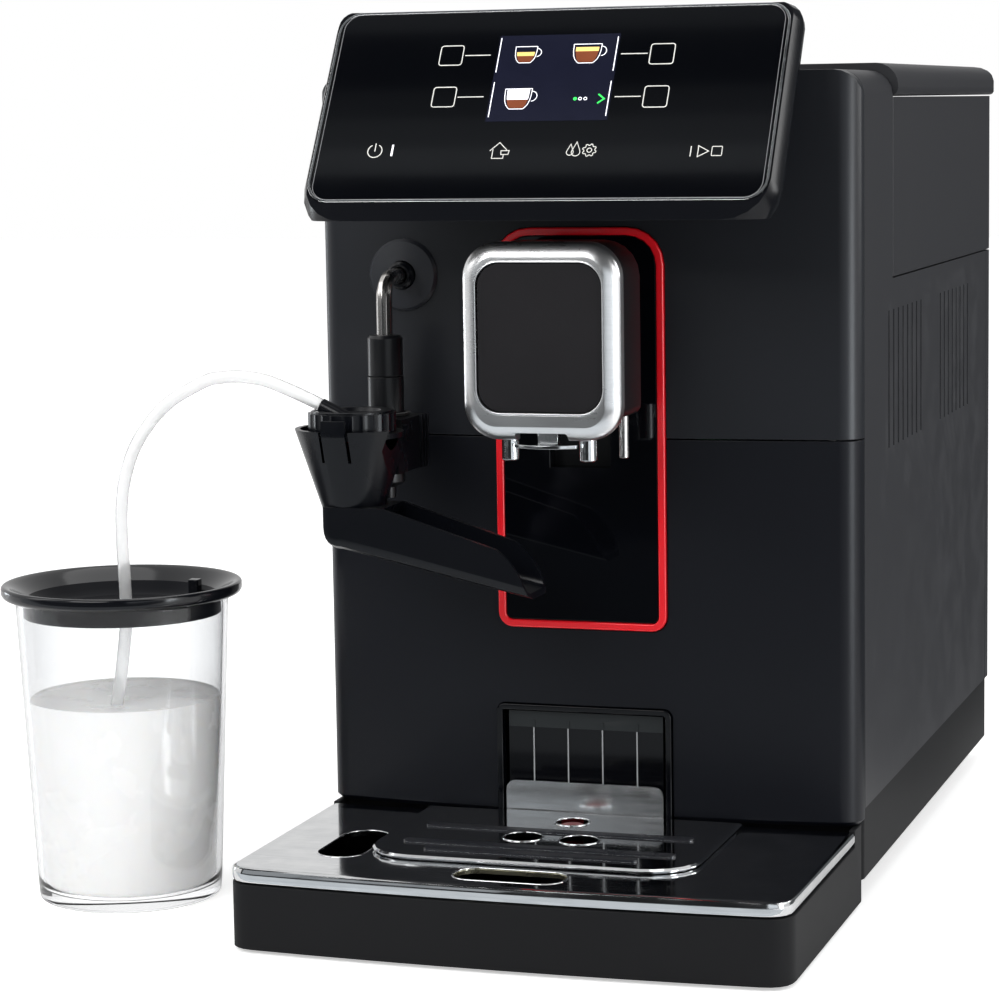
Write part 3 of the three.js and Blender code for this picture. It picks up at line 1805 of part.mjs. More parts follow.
function makeGroundChute() {
  const { left, right, front, rear, wall } = groundChute;
  const flangeTop = body.top - body.wall - gap;
  const tube = cut(
    join(
      box([left, front, groundChute.low], [right, rear, body.top]),
      box(
        [left - wall, front - wall, flangeTop - wall],
        [right + wall, rear + wall, flangeTop],
      ),
    ),
    box(
      [left + wall, front + wall, groundChute.low - overrun],
      [right - wall, rear - wall, body.top + overrun],
    ),
  );
  piece("preground_chute", tube, "softBlack");

  const { axisY, radius } = groundLid;
  const axisZ = groundAxisZ;
  const leaf = box(
    [groundLid.left, groundLid.front, axisZ - radius],
    [groundLid.right, axisY, axisZ + radius],
  );
  const knuckle = prism(disc(axisY, axisZ, radius, door.sides), "x", groundLid.left, groundLid.right);
  const pins = prism(
    disc(axisY, axisZ, groundLid.pin, door.sides),
    "x",
    groundLid.left - groundLid.pinLength,
    groundLid.right + groundLid.pinLength,
  );
  piece("preground_lid", join(leaf, knuckle, pins), "matteBlack");
}

function makeInnerFrame() {
  const { wall, sideX, front, shelf, tower } = inner;
  const rear = body.rear - inner.rearInset;
  const floor = base.bottom + base.wall;
  const side = half - body.wall - inner.sideGap;
  const shelfLow = shelf - wall;
  const floorPlate = cut(
    box([-side, front, shelfLow], [side, rear, shelf]),
    box(
      [-inner.chuteHalf, inner.chuteFront, shelfLow - overrun],
      [inner.chuteHalf, inner.chuteRear, shelf + overrun],
    ),
  );
  const walls = [-sideX - wall, sideX].map((x) => box([x, front, floor], [x + wall, rear, shelf]));
  const post = box([0, inner.towerFront, shelfLow], [wall, rear, tower]);
  const back = box([0, rear - wall, shelfLow], [side, rear, tower]);
  const seat = cut(
    box([0, inner.towerFront, tower - wall], [side, rear, tower]),
    prism(disc(tank.outletX, outletY, tank.outlet + gap, foot.sides), "z", 0, tankTop),
  );
  const grinderTop = grinder.low - gap;
  const ledge = box(
    [hopper.throatX - grinder.radius, hopper.throatY - grinder.motorRadius, grinderTop - wall],
    [wall, hopper.throatY + grinder.radius, grinderTop],
  );
  piece("inner_frame", join(floorPlate, ...walls, post, back, seat, ledge), "matteBlack");
}

function makeWorks() {
  const { throatX: gx, throatY: gy } = hopper;
  const neckTop = hopper.low - gap;
  const mill = lathe(
    [
      [0, grinder.low],
      [grinder.motorRadius, grinder.low],
      [grinder.radius, grinder.low + grinder.ease],
      [grinder.radius, grinder.bodyTop - grinder.ease],
      [grinder.neckRadius, grinder.bodyTop],
      [grinder.neckRadius, neckTop],
      [grinder.burrRadius, neckTop],
      [grinder.burrRadius, neckTop - grinder.ease],
      [0, neckTop - grinder.ease / 2],
    ],
    grinder.sides,
    gx,
    gy,
  );
  const outlet = box(
    [gx - grinder.outletHalf, brew.cylY, grinder.low],
    [gx + grinder.outletHalf, gy - grinder.motorRadius, grinder.low + grinder.ease + grinder.outletHalf],
  );
  piece("grinder", join(mill, outlet), "softBlack");

  const brewBody = join(
    prism(
      roundedRect(brewLeft, brew.front, brew.right, brew.rear, brew.armRadius),
      "z",
      deck,
      brew.bodyTop,
    ),
    lathe(
      [
        [0, deck],
        [brew.cylRadius, deck],
        [brew.cylRadius, brew.cylTop - brew.armRadius],
        [brew.cylRadius + brew.rim, brew.cylTop],
        [brew.cylRadius, brew.cylTop],
        [brew.cylRadius - 2 * brew.rim, brew.cylTop - brew.armRadius],
        [0, brew.cylTop - brew.armRadius],
      ],
      brew.sides,
      brew.cylX,
      brew.cylY,
    ),
  );
  const handle = join(
    prism(
      disc(brew.handleY, brew.handleZ, brew.armRadius, brew.sides),
      "x",
      brewLeft - brew.rim,
      brewLeft + brew.armRadius,
    ),
    box(
      [brewLeft - 2 * brew.rim, brew.handleY - brew.rim, brew.handleZ - brew.armLength],
      [brewLeft, brew.handleY + brew.rim, brew.handleZ],
    ),
  );
  piece("brew_group", join(brewBody, handle), "ivory");

  const vessel = lathe(
    [
      [0, deck],
      [boiler.radius, deck],
      [boiler.radius, boiler.top - boiler.dome],
      [boiler.radius - boiler.dome, boiler.top],
      [boiler.port, boiler.top],
      [boiler.port, boiler.top + boiler.portHigh],
      [0, boiler.top + boiler.portHigh],
    ],
    boiler.sides,
  );
  piece("boiler", vessel, "steel").position.set(boilerX, boiler.y, 0);

  const motor = turnedPart(
    [
      [0, pump.front],
      [pump.headRadius, pump.front],
      [pump.headRadius, pump.front + pump.head],
      [pump.radius, pump.front + pump.head],
      [pump.radius, pump.rear],
      [0, pump.rear],
    ],
    pump.sides,
    "y",
    pumpX,
    pump.z,
  );
  const cradle = box(
    [pumpX - pump.footHalf, pump.front + 2 * pump.head, deck],
    [pumpX + pump.footHalf, pump.rear - pump.head, pump.z],
  );
  piece("pump", join(motor, cradle), "steel");

  const x = inner.wall + gap;
  const stepY = (board.rear - board.front) / board.cols;
  const stepZ = (board.high - board.low) / board.rows;
  const parts = Array.from({ length: board.cols * board.rows }, (_, i) => {
    const y = board.front + ((i % board.cols) + 1 / 2) * stepY;
    const z = board.low + (Math.floor(i / board.cols) + 1 / 2) * stepZ;
    return box(
      [x + board.thick / 2, y - board.part, z - board.part],
      [x + board.thick + board.partHigh, y + board.part, z + board.part],
    );
  });
  const sheet = box([x, board.front, board.low], [x + board.thick, board.rear, board.high]);
  piece("circuit_board", join(sheet, ...parts), "green");
}

const hosePath = new THREE.CatmullRomCurve3(hoseRoute.map((p) => vector(...p)));

function makeGlass() {
  const lean = (glass.topRadius - glass.footRadius) / glass.top;
  const inside = (z) => glass.footRadius + lean * z - glass.wall;
  const tumbler = lathe(
    [
      [0, 0],
      [glass.footRadius - glass.edge, 0],
      [glass.footRadius + lean * glass.edge, glass.edge],
      [glass.topRadius, glass.top],
      [inside(glass.top), glass.top],
      [inside(glass.floor), glass.floor],
      [0, glass.floor],
    ],
    glass.sides,
  );
  piece("milk_glass", tumbler, "clear").position.set(glass.x, glass.y, 0);

  const milkFoot = glass.floor + gap;
  const milk = cut(
    lathe(
      [
        [0, milkFoot],
        [inside(milkFoot) - gap, milkFoot],
        [inside(milkLevel) - gap, milkLevel],
        [0, milkLevel],
      ],
      glass.sides,
      glass.x,
      glass.y,
    ),
    bar(hosePath, hose.hole, hose.sides, hose.steps),
  );
  piece("milk", milk, "milk");

  const { radius, lipLow, top, plugRadius, plugLow, lipRound, edge } = glassLid;
  const dish = lathe(
    [
      [0, plugLow],
      [plugRadius, plugLow],
      [plugRadius, lipLow],
      [radius - lipRound, lipLow],
      [radius, lipLow + lipRound],
      [radius, top - edge],
      [radius - edge, top],
      [radius - glassLid.rim, top],
      [glassLid.dishRadius, glassLid.dish],
      [0, glassLid.dish],
    ],
    glass.sides,
    glass.x,
    glass.y,
  );
  const peg = box(
    [glassLid.ventX - glassLid.ventHalf, glassLid.ventY - glassLid.ventHalf, glassLid.dish - edge],
    [glassLid.ventX + glassLid.ventHalf, glassLid.ventY + glassLid.ventHalf, glassLid.ventTop],
  );
  const passage = prism(
    disc(glassLid.holeX, glassLid.holeY, hose.hole, foot.sides),
    "z",
    plugLow - overrun,
    top + overrun,
  );
  piece("glass_lid", cut(join(dish, peg), passage), "glossBlack");
}

makeBase();
makeCasing();
makeFrontCovers();
makeRing();
makeArch();
makeRearCover();
makeInlet();
makeServiceDoor();
makePanel();
makeWand();
makeFrotherBody();
makeFrotherCap();
makeSpout();
makeTray();
makeCupPlate();
makeDrawer();
makeTank();
makeHopper();
makeGroundChute();
makeInnerFrame();
makeWorks();
makeGlass();

// The origin is the middle of the base of all but the free hose
group.updateMatrixWorld(true);
const whole = new THREE.Box3().setFromObject(group);
const centre = whole.getCenter(vector());
piece("milk_hose", bar(hosePath, hose.radius, hose.sides, hose.steps), "hose");
const placed = new THREE.Group();
group.position.set(-centre.x, -centre.y, -whole.min.z);
placed.add(group);

export default placed;
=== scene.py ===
"""Bean to cup coffee machine with its milk glass, dressed over its CAD frame.

Sizes in the classes are millimetres in the machine's own frame: X to the right, Y to the
back and Z up, from the middle of the machine's front corners at counter height. MACHINE
turns them into the metres of the scene.
"""

import json
import logging
import math
from collections.abc import Sequence
from dataclasses import dataclass, field, replace
from enum import Enum

import bmesh
import bpy
from mathutils import Matrix, Vector

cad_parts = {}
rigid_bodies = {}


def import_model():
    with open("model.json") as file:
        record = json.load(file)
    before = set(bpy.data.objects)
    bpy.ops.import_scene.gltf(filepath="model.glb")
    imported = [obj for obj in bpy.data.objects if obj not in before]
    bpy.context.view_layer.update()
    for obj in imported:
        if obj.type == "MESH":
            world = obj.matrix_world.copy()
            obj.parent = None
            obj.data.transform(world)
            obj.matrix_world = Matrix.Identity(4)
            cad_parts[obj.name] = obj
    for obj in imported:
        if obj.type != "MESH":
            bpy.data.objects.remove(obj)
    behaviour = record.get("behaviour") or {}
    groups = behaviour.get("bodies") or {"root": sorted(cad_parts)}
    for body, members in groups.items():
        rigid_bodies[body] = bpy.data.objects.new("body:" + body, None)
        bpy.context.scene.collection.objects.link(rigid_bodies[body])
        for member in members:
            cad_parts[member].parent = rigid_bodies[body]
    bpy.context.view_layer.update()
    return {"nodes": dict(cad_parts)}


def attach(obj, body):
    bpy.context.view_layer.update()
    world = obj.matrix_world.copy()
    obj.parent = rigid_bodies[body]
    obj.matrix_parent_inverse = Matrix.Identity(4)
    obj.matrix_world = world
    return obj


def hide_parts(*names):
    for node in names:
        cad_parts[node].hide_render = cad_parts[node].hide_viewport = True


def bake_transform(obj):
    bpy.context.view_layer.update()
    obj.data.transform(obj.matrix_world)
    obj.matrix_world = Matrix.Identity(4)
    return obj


for started_with in list(bpy.data.objects):
    bpy.data.objects.remove(started_with)
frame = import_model()

log = logging.getLogger("coffee_machine")

Flat = tuple[float, float]
Point = tuple[float, float, float]
Box = tuple[float, float, float, float]
Colour = tuple[float, float, float]


class Body(Enum):
    """The bodies of the frame that a piece can ride on."""

    MACHINE = "machine"
    WAND = "wand"
    SPOUT = "spout"
    TRAY = "tray"
    GRID = "grid"
    FLOAT = "float"
    TANK = "tank"
    TANK_COVER = "tank_cover"
    BEAN_COVER = "bean_cover"
    ADJUSTER = "adjuster"
    GROUND_COVER = "preground_cover"
    DOOR = "door"
    SWITCH = "switch"
    GLASS_COVER = "glass_cover"


class Axis(Enum):
    """The axis that a flat drawing is carried along."""

    X = "x"
    Y = "y"
    Z = "z"


@dataclass(frozen=True)
class MachinePlace:
    """Where the machine's own frame stands in the scene."""

    x: float = 59.9
    y: float = -97.65
    scale: float = 0.001

    def point(self, x: float, y: float, z: float) -> Vector:
        """A point of the machine's frame in the scene's metres."""
        return Vector((x + self.x, y + self.y, z)) * self.scale


MACHINE = MachinePlace()

WELD_METRES = 2e-6
FLAT_DEGREES = 0.3
SHARP_DEGREES = 40
SMALLEST_RADIUS = 0.001
SMALLEST_CORNER = 0.01


# ---------------------------------------------------------------------------------------
# Shader effects, each built once as a node group
# ---------------------------------------------------------------------------------------

NUMBER_SOCKET = "NodeSocketFloat"
MIX_COLOURS = (6, 7)
MIX_RESULT = 2
# Large flat faces carry their edges' pointiness, so only sharper places count as edges.
WEAR_AND_HIGHLIGHT_POINTINESS = (0.6, 0.72)
# Where each noise starts to show, and where it shows in full.
CLOUD_EASE = (0.3, 0.7)
WEAR_AND_HIGHLIGHT_EASE = (0.35, 0.7)
SMUDGE_EASE = (0.42, 0.72)
STREAK_EASE = (0.35, 0.65)
UPWARD_EASE = (0.6, 1.0)
DUST_EASE = (0.3, 0.8)
# The grain's two sizes of lump, and how much each adds to its height.
COARSE_LUMPS = 0.31
FINE_SHARE, COARSE_SHARE = 0.65, 0.35
# The fine mottle in a smudge: its lumps for each patch, its strength and its least value.
MOTTLE_LUMPS = 24.0
MOTTLE_SHARE, MOTTLE_LEAST = 0.5, 0.75


class Nodes:
    """Short hand for adding and joining the nodes of one tree."""

    def __init__(self, tree: bpy.types.NodeTree) -> None:
        """Keeps the tree.

        Args:
            tree: The node tree to work in.
        """
        self.tree = tree

    def add(self, kind: str, **settings: object) -> bpy.types.Node:
        """Adds a node.

        Args:
            kind: The node's type name.
            settings: Properties of the node.

        Returns:
            The new node.
        """
        node = self.tree.nodes.new(kind)
        for name, value in settings.items():
            setattr(node, name, value)
        return node

    def feed(self, socket: bpy.types.NodeSocket, value: object) -> None:
        """Joins an output to a socket, or sets the socket's own value.

        Args:
            socket: The input.
            value: An output socket, or a plain value.
        """
        if isinstance(value, bpy.types.NodeSocket):
            self.tree.links.new(value, socket)
        else:
            socket.default_value = value

    def math(self, operation: str, *values: object) -> bpy.types.NodeSocket:
        """The result of a Math node.

        Args:
            operation: The node's operation.
            values: Its inputs, outputs of other nodes or numbers.

        Returns:
            The output socket.
        """
        node = self.add("ShaderNodeMath", operation=operation)
        for socket, value in zip(node.inputs, values):
            self.feed(socket, value)
        return node.outputs[0]

    def ramp(self, value: object, low: float, high: float) -> bpy.types.NodeSocket:
        """A value eased from 0 at one limit to 1 at the other.

        Args:
            value: The value to ease.
            low: Where the result is 0.
            high: Where the result is 1.

        Returns:
            The output socket.
        """
        node = self.add("ShaderNodeMapRange", interpolation_type="SMOOTHSTEP")
        self.feed(node.inputs["Value"], value)
        node.inputs["From Min"].default_value = low
        node.inputs["From Max"].default_value = high
        return node.outputs["Result"]

    def noise(self, place: object, scale: object, detail: float) -> bpy.types.NodeSocket:
        """The value of a noise texture.

        Args:
            place: Coordinates.
            scale: How many lumps a metre holds.
            detail: How many finer layers it has.

        Returns:
            The output socket.
        """
        node = self.add("ShaderNodeTexNoise")
        self.feed(node.inputs["Vector"], place)
        self.feed(node.inputs["Scale"], scale)
        node.inputs["Detail"].default_value = detail
        return node.outputs[0]

    def blend(self, share: object, first: object, second: object) -> bpy.types.NodeSocket:
        """A colour between two colours.

        Args:
            share: 0 for the first, 1 for the second.
            first: A colour or a socket.
            second: A colour or a socket.

        Returns:
            The output socket.
        """
        node = self.add("ShaderNodeMix", data_type="RGBA")
        self.feed(node.inputs["Factor"], share)
        for place, colour in zip(MIX_COLOURS, (first, second)):
            self.feed(node.inputs[place], colour)
        return node.outputs[MIX_RESULT]


def effect(name: str, inputs: dict[str, float], outputs: Sequence[str]) -> Nodes:
    """An empty node group with number sockets.

    Args:
        name: The group's name.
        inputs: The names of its inputs, with their first values.
        outputs: The names of its outputs.

    Returns:
        The nodes of the group, with its ends in place.
    """
    tree = bpy.data.node_groups.new(name, "ShaderNodeTree")
    for label, value in inputs.items():
        socket = tree.interface.new_socket(name=label, in_out="INPUT", socket_type=NUMBER_SOCKET)
        socket.default_value = value
    for label in outputs:
        tree.interface.new_socket(name=label, in_out="OUTPUT", socket_type=NUMBER_SOCKET)
    return Nodes(tree)


def make_mould_grain() -> bpy.types.NodeTree:
    """Spark-eroded grain of moulded plastic, with the cloudiness of its colour.

    Returns:
        The node group, with outputs Height and Cloud.
    """
    nodes = effect("Mould grain", {"Per Metre": 2200.0, "Clouds": 16.0}, ["Height", "Cloud"])
    given = nodes.add("NodeGroupInput")
    place = nodes.add("ShaderNodeTexCoord").outputs["Object"]
    lumps = given.outputs["Per Metre"]
    fine = nodes.noise(place, lumps, detail=2.0)
    coarse = nodes.noise(place, nodes.math("MULTIPLY", lumps, COARSE_LUMPS), detail=1.0)
    fine_part = nodes.math("MULTIPLY", fine, FINE_SHARE)
    coarse_part = nodes.math("MULTIPLY", coarse, COARSE_SHARE)
    height = nodes.math("ADD", fine_part, coarse_part)
    cloud = nodes.ramp(nodes.noise(place, given.outputs["Clouds"], detail=3.0), *CLOUD_EASE)
    result = nodes.add("NodeGroupOutput")
    nodes.feed(result.inputs["Height"], height)
    nodes.feed(result.inputs["Cloud"], cloud)
    return nodes.tree


def make_edge_wear_and_highlight() -> bpy.types.NodeTree:
    """Where hands and cloths have polished the edges; on the cup plate's bars the same mask paints
    a highlight along their edges.

    Returns:
        The node group, with the output Mask.
    """
    nodes = effect("Edge wear and highlight", {"Amount": 0.5, "Patches": 60.0}, ["Mask"])
    given = nodes.add("NodeGroupInput")
    place = nodes.add("ShaderNodeTexCoord").outputs["Object"]
    point = nodes.add("ShaderNodeNewGeometry").outputs["Pointiness"]
    edge = nodes.ramp(point, *WEAR_AND_HIGHLIGHT_POINTINESS)
    patches = nodes.ramp(nodes.noise(place, given.outputs["Patches"], detail=4.0), *WEAR_AND_HIGHLIGHT_EASE)
    mask = nodes.math("MULTIPLY", nodes.math("MULTIPLY", edge, patches), given.outputs["Amount"])
    result = nodes.add("NodeGroupOutput")
    nodes.feed(result.inputs["Mask"], mask)
    return nodes.tree


def make_handling() -> bpy.types.NodeTree:
    """Faint smudges of handling and wiping on a smooth face.

    Returns:
        The node group, with the output Smudge.
    """
    nodes = effect("Handling", {"Patches": 22.0, "Amount": 0.05}, ["Smudge"])
    given = nodes.add("NodeGroupInput")
    place = nodes.add("ShaderNodeTexCoord").outputs["Object"]
    patches = given.outputs["Patches"]
    soft = nodes.ramp(nodes.noise(place, patches, detail=5.0), *SMUDGE_EASE)
    fine = nodes.noise(place, nodes.math("MULTIPLY", patches, MOTTLE_LUMPS), detail=2.0)
    mottle = nodes.math("ADD", nodes.math("MULTIPLY", fine, MOTTLE_SHARE), MOTTLE_LEAST)
    both = nodes.math("MULTIPLY", soft, mottle)
    result = nodes.add("NodeGroupOutput")
    nodes.feed(result.inputs["Smudge"], nodes.math("MULTIPLY", both, given.outputs["Amount"]))
    return nodes.tree


def make_brushing() -> bpy.types.NodeTree:
    """Long fine scratches left by a polishing belt.

    Returns:
        The node group, with outputs Height and Streak.
    """
    labels = ("Along X", "Along Y", "Along Z")
    nodes = effect("Brushing", dict.fromkeys(labels, 1.0), ["Height", "Streak"])
    given = nodes.add("NodeGroupInput")
    place = nodes.add("ShaderNodeTexCoord").outputs["Object"]
    stretch = nodes.add("ShaderNodeCombineXYZ")
    for socket, label in zip(stretch.inputs, labels):
        nodes.feed(socket, given.outputs[label])
    product = nodes.add("ShaderNodeVectorMath", operation="MULTIPLY")
    nodes.feed(product.inputs[0], place)
    nodes.feed(product.inputs[1], stretch.outputs[0])
    streak = nodes.noise(product.outputs[0], 1.0, detail=3.0)
    result = nodes.add("NodeGroupOutput")
    nodes.feed(result.inputs["Height"], streak)
    nodes.feed(result.inputs["Streak"], nodes.ramp(streak, *STREAK_EASE))
    return nodes.tree


def make_dust() -> bpy.types.NodeTree:
    """A breath of dust on faces that look up.

    Returns:
        The node group, with the output Mask.
    """
    nodes = effect("Dust", {"Amount": 0.1, "Patches": 40.0}, ["Mask"])
    given = nodes.add("NodeGroupInput")
    place = nodes.add("ShaderNodeTexCoord").outputs["Object"]
    parts = nodes.add("ShaderNodeSeparateXYZ")
    nodes.feed(parts.inputs[0], nodes.add("ShaderNodeNewGeometry").outputs["Normal"])
    upward = nodes.ramp(parts.outputs["Z"], *UPWARD_EASE)
    patches = nodes.ramp(nodes.noise(place, given.outputs["Patches"], detail=6.0), *DUST_EASE)
    mask = nodes.math("MULTIPLY", nodes.math("MULTIPLY", upward, patches), given.outputs["Amount"])
    result = nodes.add("NodeGroupOutput")
    nodes.feed(result.inputs["Mask"], mask)
    return nodes.tree


class Effects:
    """The shared node groups."""

    mould_grain = make_mould_grain()
    edge_wear_and_highlight = make_edge_wear_and_highlight()
    handling = make_handling()
    brushing = make_brushing()
    dust = make_dust()


# ---------------------------------------------------------------------------------------
# Finishes
# ---------------------------------------------------------------------------------------

DUST_COLOUR = (0.42, 0.41, 0.39)
BARE_METAL = (0.95, 0.95, 0.95)
GLASS_EDGE = (0.3, 0.31, 0.33)


class Painter:
    """Starts a material and puts effects into it."""

    def __init__(self, name: str) -> None:
        """Makes an empty material with its shader.

        Args:
            name: The material's name.
        """
        self.material = bpy.data.materials.new(name)
        self.material.use_nodes = True
        self.nodes = Nodes(self.material.node_tree)
        self.material.node_tree.nodes.clear()
        self.shader = self.nodes.add("ShaderNodeBsdfPrincipled")
        end = self.nodes.add("ShaderNodeOutputMaterial")
        self.nodes.feed(end.inputs["Surface"], self.shader.outputs[0])

    def set(self, name: str, value: object) -> None:
        """Feeds one input of the shader."""
        self.nodes.feed(self.shader.inputs[name], value)

    def place(self, group: bpy.types.NodeTree, **values: float) -> bpy.types.Node:
        """Places an effect.

        Args:
            group: The node group.
            values: Its inputs, with _ for a blank.

        Returns:
            The group node.
        """
        node = self.nodes.add("ShaderNodeGroup", node_tree=group)
        for name, value in values.items():
            node.inputs[name.replace("_", " ")].default_value = value
        return node

    def bump(self, height: object, depth: float, strength: float) -> None:
        """Lets a height raise the surface.

        Args:
            height: The height's socket.
            depth: How deep it is in metres.
            strength: How strongly it shows.
        """
        node = self.nodes.add("ShaderNodeBump")
        node.inputs["Strength"].default_value = strength
        node.inputs["Distance"].default_value = depth
        self.nodes.feed(node.inputs["Height"], height)
        self.set("Normal", node.outputs[0])


def with_alpha(colour: Colour) -> tuple[float, float, float, float]:
    """A colour with full cover."""
    return (*colour, 1.0)


@dataclass(frozen=True)
class Plastic:
    """Moulded plastic, rubber or lacquer."""

    name: str
    slot: str
    colour: Colour
    cloud_colour: Colour
    worn_and_highlight_colour: Colour
    roughness: float
    spread: float
    specular: float = 0.5
    grain_per_metre: float = 2200.0
    grain_depth: float = 0.00004
    grain_strength: float = 0.25
    # How much the edges lighten: wear, and on the cup plate's bars a painted highlight.
    wear: float = 0.35
    dust: float = 0.04
    coat: float = 0.0
    coat_roughness: float = 0.03
    sheen: float = 0.0

    def material(self) -> bpy.types.Material:
        """Builds the material.

        Returns:
            The material.
        """
        painter = Painter(self.name)
        nodes = painter.nodes
        grain = painter.place(Effects.mould_grain, Per_Metre=self.grain_per_metre)
        wear = painter.place(Effects.edge_wear_and_highlight, Amount=self.wear)
        smudge = painter.place(Effects.handling, Amount=self.spread)
        dust = painter.place(Effects.dust, Amount=self.dust)
        clouded = nodes.blend(
            grain.outputs["Cloud"], with_alpha(self.colour), with_alpha(self.cloud_colour)
        )
        # Lighter edges: wear, and on the bars a painted highlight.
        worn = nodes.blend(wear.outputs["Mask"], clouded, with_alpha(self.worn_and_highlight_colour))
        dusty = nodes.blend(dust.outputs["Mask"], worn, with_alpha(DUST_COLOUR))
        painter.set("Base Color", dusty)
        rough = nodes.math("ADD", smudge.outputs["Smudge"], self.roughness)
        painter.set("Roughness", nodes.math("ADD", rough, dust.outputs["Mask"]))
        painter.set("Specular IOR Level", self.specular)
        painter.set("Coat Weight", self.coat)
        painter.set("Coat Roughness", self.coat_roughness)
        painter.set("Sheen Weight", self.sheen)
        painter.bump(grain.outputs["Height"], self.grain_depth, self.grain_strength)
        return painter.material


@dataclass(frozen=True)
class Metal:
    """Bright metal with the marks of its polishing."""

    name: str
    slot: str
    colour: Colour
    shade: Colour
    roughness: float
    streaks: Point
    streak_depth: float
    streak_roughness: float = 0.06
    streak_strength: float = 0.2
    smudge: float = 0.05
    smudges_per_metre: float = 30.0
    wear: float = 0.5
    anisotropy: float = 0.0

    def material(self) -> bpy.types.Material:
        """Builds the material.

        Returns:
            The material.
        """
        painter = Painter(self.name)
        nodes = painter.nodes
        along = dict(zip(("Along_X", "Along_Y", "Along_Z"), self.streaks))
        brushing = painter.place(Effects.brushing, **along)
        smudge = painter.place(
            Effects.handling, Amount=self.smudge, Patches=self.smudges_per_metre
        )
        wear = painter.place(Effects.edge_wear_and_highlight, Amount=self.wear)
        tinted = nodes.blend(
            brushing.outputs["Streak"], with_alpha(self.colour), with_alpha(self.shade)
        )
        worn = nodes.blend(wear.outputs["Mask"], tinted, with_alpha(BARE_METAL))
        painter.set("Base Color", worn)
        rough = nodes.math("MULTIPLY", brushing.outputs["Streak"], self.streak_roughness)
        rough = nodes.math("ADD", rough, smudge.outputs["Smudge"])
        painter.set("Roughness", nodes.math("ADD", rough, self.roughness))
        painter.set("Metallic", 1.0)
        painter.set("Anisotropic", self.anisotropy)
        painter.bump(brushing.outputs["Height"], self.streak_depth, self.streak_strength)
        return painter.material


@dataclass(frozen=True)
class See:
    """Glass or clear plastic."""

    name: str
    slot: str
    colour: Colour
    roughness: float
    ior: float = 1.5
    clearness: float = 1.0
    ripple: float = 0.00004
    ripples_per_metre: float = 60.0
    ripple_strength: float = 0.12
    smudge: float = 0.05
    smudges_per_metre: float = 26.0
    coat: float = 0.0
    scatter: float = 0.0
    scatter_reach: Point = (0.003, 0.003, 0.003)
    rim: float = 0.0
    rim_blend: float = 0.3
    clouds_per_metre: float = 9.0
    cloud_shade: float = 0.97

    def material(self) -> bpy.types.Material:
        """Builds the material.

        Returns:
            The material.
        """
        painter = Painter(self.name)
        nodes = painter.nodes
        smudge = painter.place(
            Effects.handling, Amount=self.smudge, Patches=self.smudges_per_metre
        )
        wave = painter.place(
            Effects.mould_grain, Per_Metre=self.ripples_per_metre, Clouds=self.clouds_per_metre
        )
        deeper = tuple(self.cloud_shade * part for part in self.colour)
        tint = nodes.blend(wave.outputs["Cloud"], with_alpha(self.colour), with_alpha(deeper))
        if self.rim:
            edge = nodes.add("ShaderNodeLayerWeight")
            edge.inputs["Blend"].default_value = self.rim_blend
            amount = nodes.math("MULTIPLY", edge.outputs["Facing"], self.rim)
            tint = nodes.blend(amount, tint, with_alpha(GLASS_EDGE))
        painter.set("Base Color", tint)
        painter.set("Roughness", nodes.math("ADD", smudge.outputs["Smudge"], self.roughness))
        painter.set("IOR", self.ior)
        painter.set("Transmission Weight", self.clearness)
        painter.set("Coat Weight", self.coat)
        painter.set("Subsurface Weight", self.scatter)
        painter.set("Subsurface Radius", self.scatter_reach)
        painter.set("Subsurface Scale", 1.0)
        painter.bump(wave.outputs["Height"], self.ripple, self.ripple_strength)
        return painter.material


@dataclass(frozen=True)
class Liquid:
    """Milk, with the fine froth at its edge."""

    name: str
    slot: str
    colour: Colour
    froth: Colour
    scatter: float
    scatter_reach: Point = (0.006, 0.005, 0.004)
    roughness: float = 0.22
    bubbles_per_metre: float = 900.0
    bubble_depth: float = 0.00003
    bubble_strength: float = 0.1
    clouds_per_metre: float = 70.0
    smudge: float = 0.12
    smudges_per_metre: float = 50.0

    def material(self) -> bpy.types.Material:
        """Builds the material.

        Returns:
            The material.
        """
        painter = Painter(self.name)
        bubbles = painter.place(
            Effects.mould_grain, Per_Metre=self.bubbles_per_metre, Clouds=self.clouds_per_metre
        )
        ends = (with_alpha(self.colour), with_alpha(self.froth))
        painter.set("Base Color", painter.nodes.blend(bubbles.outputs["Cloud"], *ends))
        smudge = painter.place(
            Effects.handling, Amount=self.smudge, Patches=self.smudges_per_metre
        )
        rough = painter.nodes.math("ADD", smudge.outputs["Smudge"], self.roughness)
        painter.set("Roughness", rough)
        painter.set("Subsurface Weight", self.scatter)
        painter.set("Subsurface Radius", self.scatter_reach)
        painter.set("Subsurface Scale", 1.0)
        painter.bump(bubbles.outputs["Height"], self.bubble_depth, self.bubble_strength)
        return painter.material


@dataclass(frozen=True)
class Lit:
    """Light behind the gloss glass, and marks on it that get a painted glow."""

    name: str
    slot: str
    colour: Colour
    glow: float
    roughness: float = 0.08
    grain_per_metre: float = 1500.0
    clouds_per_metre: float = 120.0
    cloud_shade: float = 0.9
    smudge: float = 0.04

    def material(self) -> bpy.types.Material:
        """Builds the material.

        Returns:
            The material.
        """
        painter = Painter(self.name)
        cloud = painter.place(
            Effects.mould_grain, Per_Metre=self.grain_per_metre, Clouds=self.clouds_per_metre
        )
        fainter = tuple(self.cloud_shade * part for part in self.colour)
        ends = (with_alpha(self.colour), with_alpha(fainter))
        tint = painter.nodes.blend(cloud.outputs["Cloud"], *ends)
        painter.set("Base Color", tint)
        painter.set("Emission Color", tint)
        painter.set("Emission Strength", self.glow)
        smudge = painter.place(Effects.handling, Amount=self.smudge)
        rough = painter.nodes.math("ADD", smudge.outputs["Smudge"], self.roughness)
        painter.set("Roughness", rough)
        return painter.material


Finish = Plastic | Metal | See | Liquid | Lit

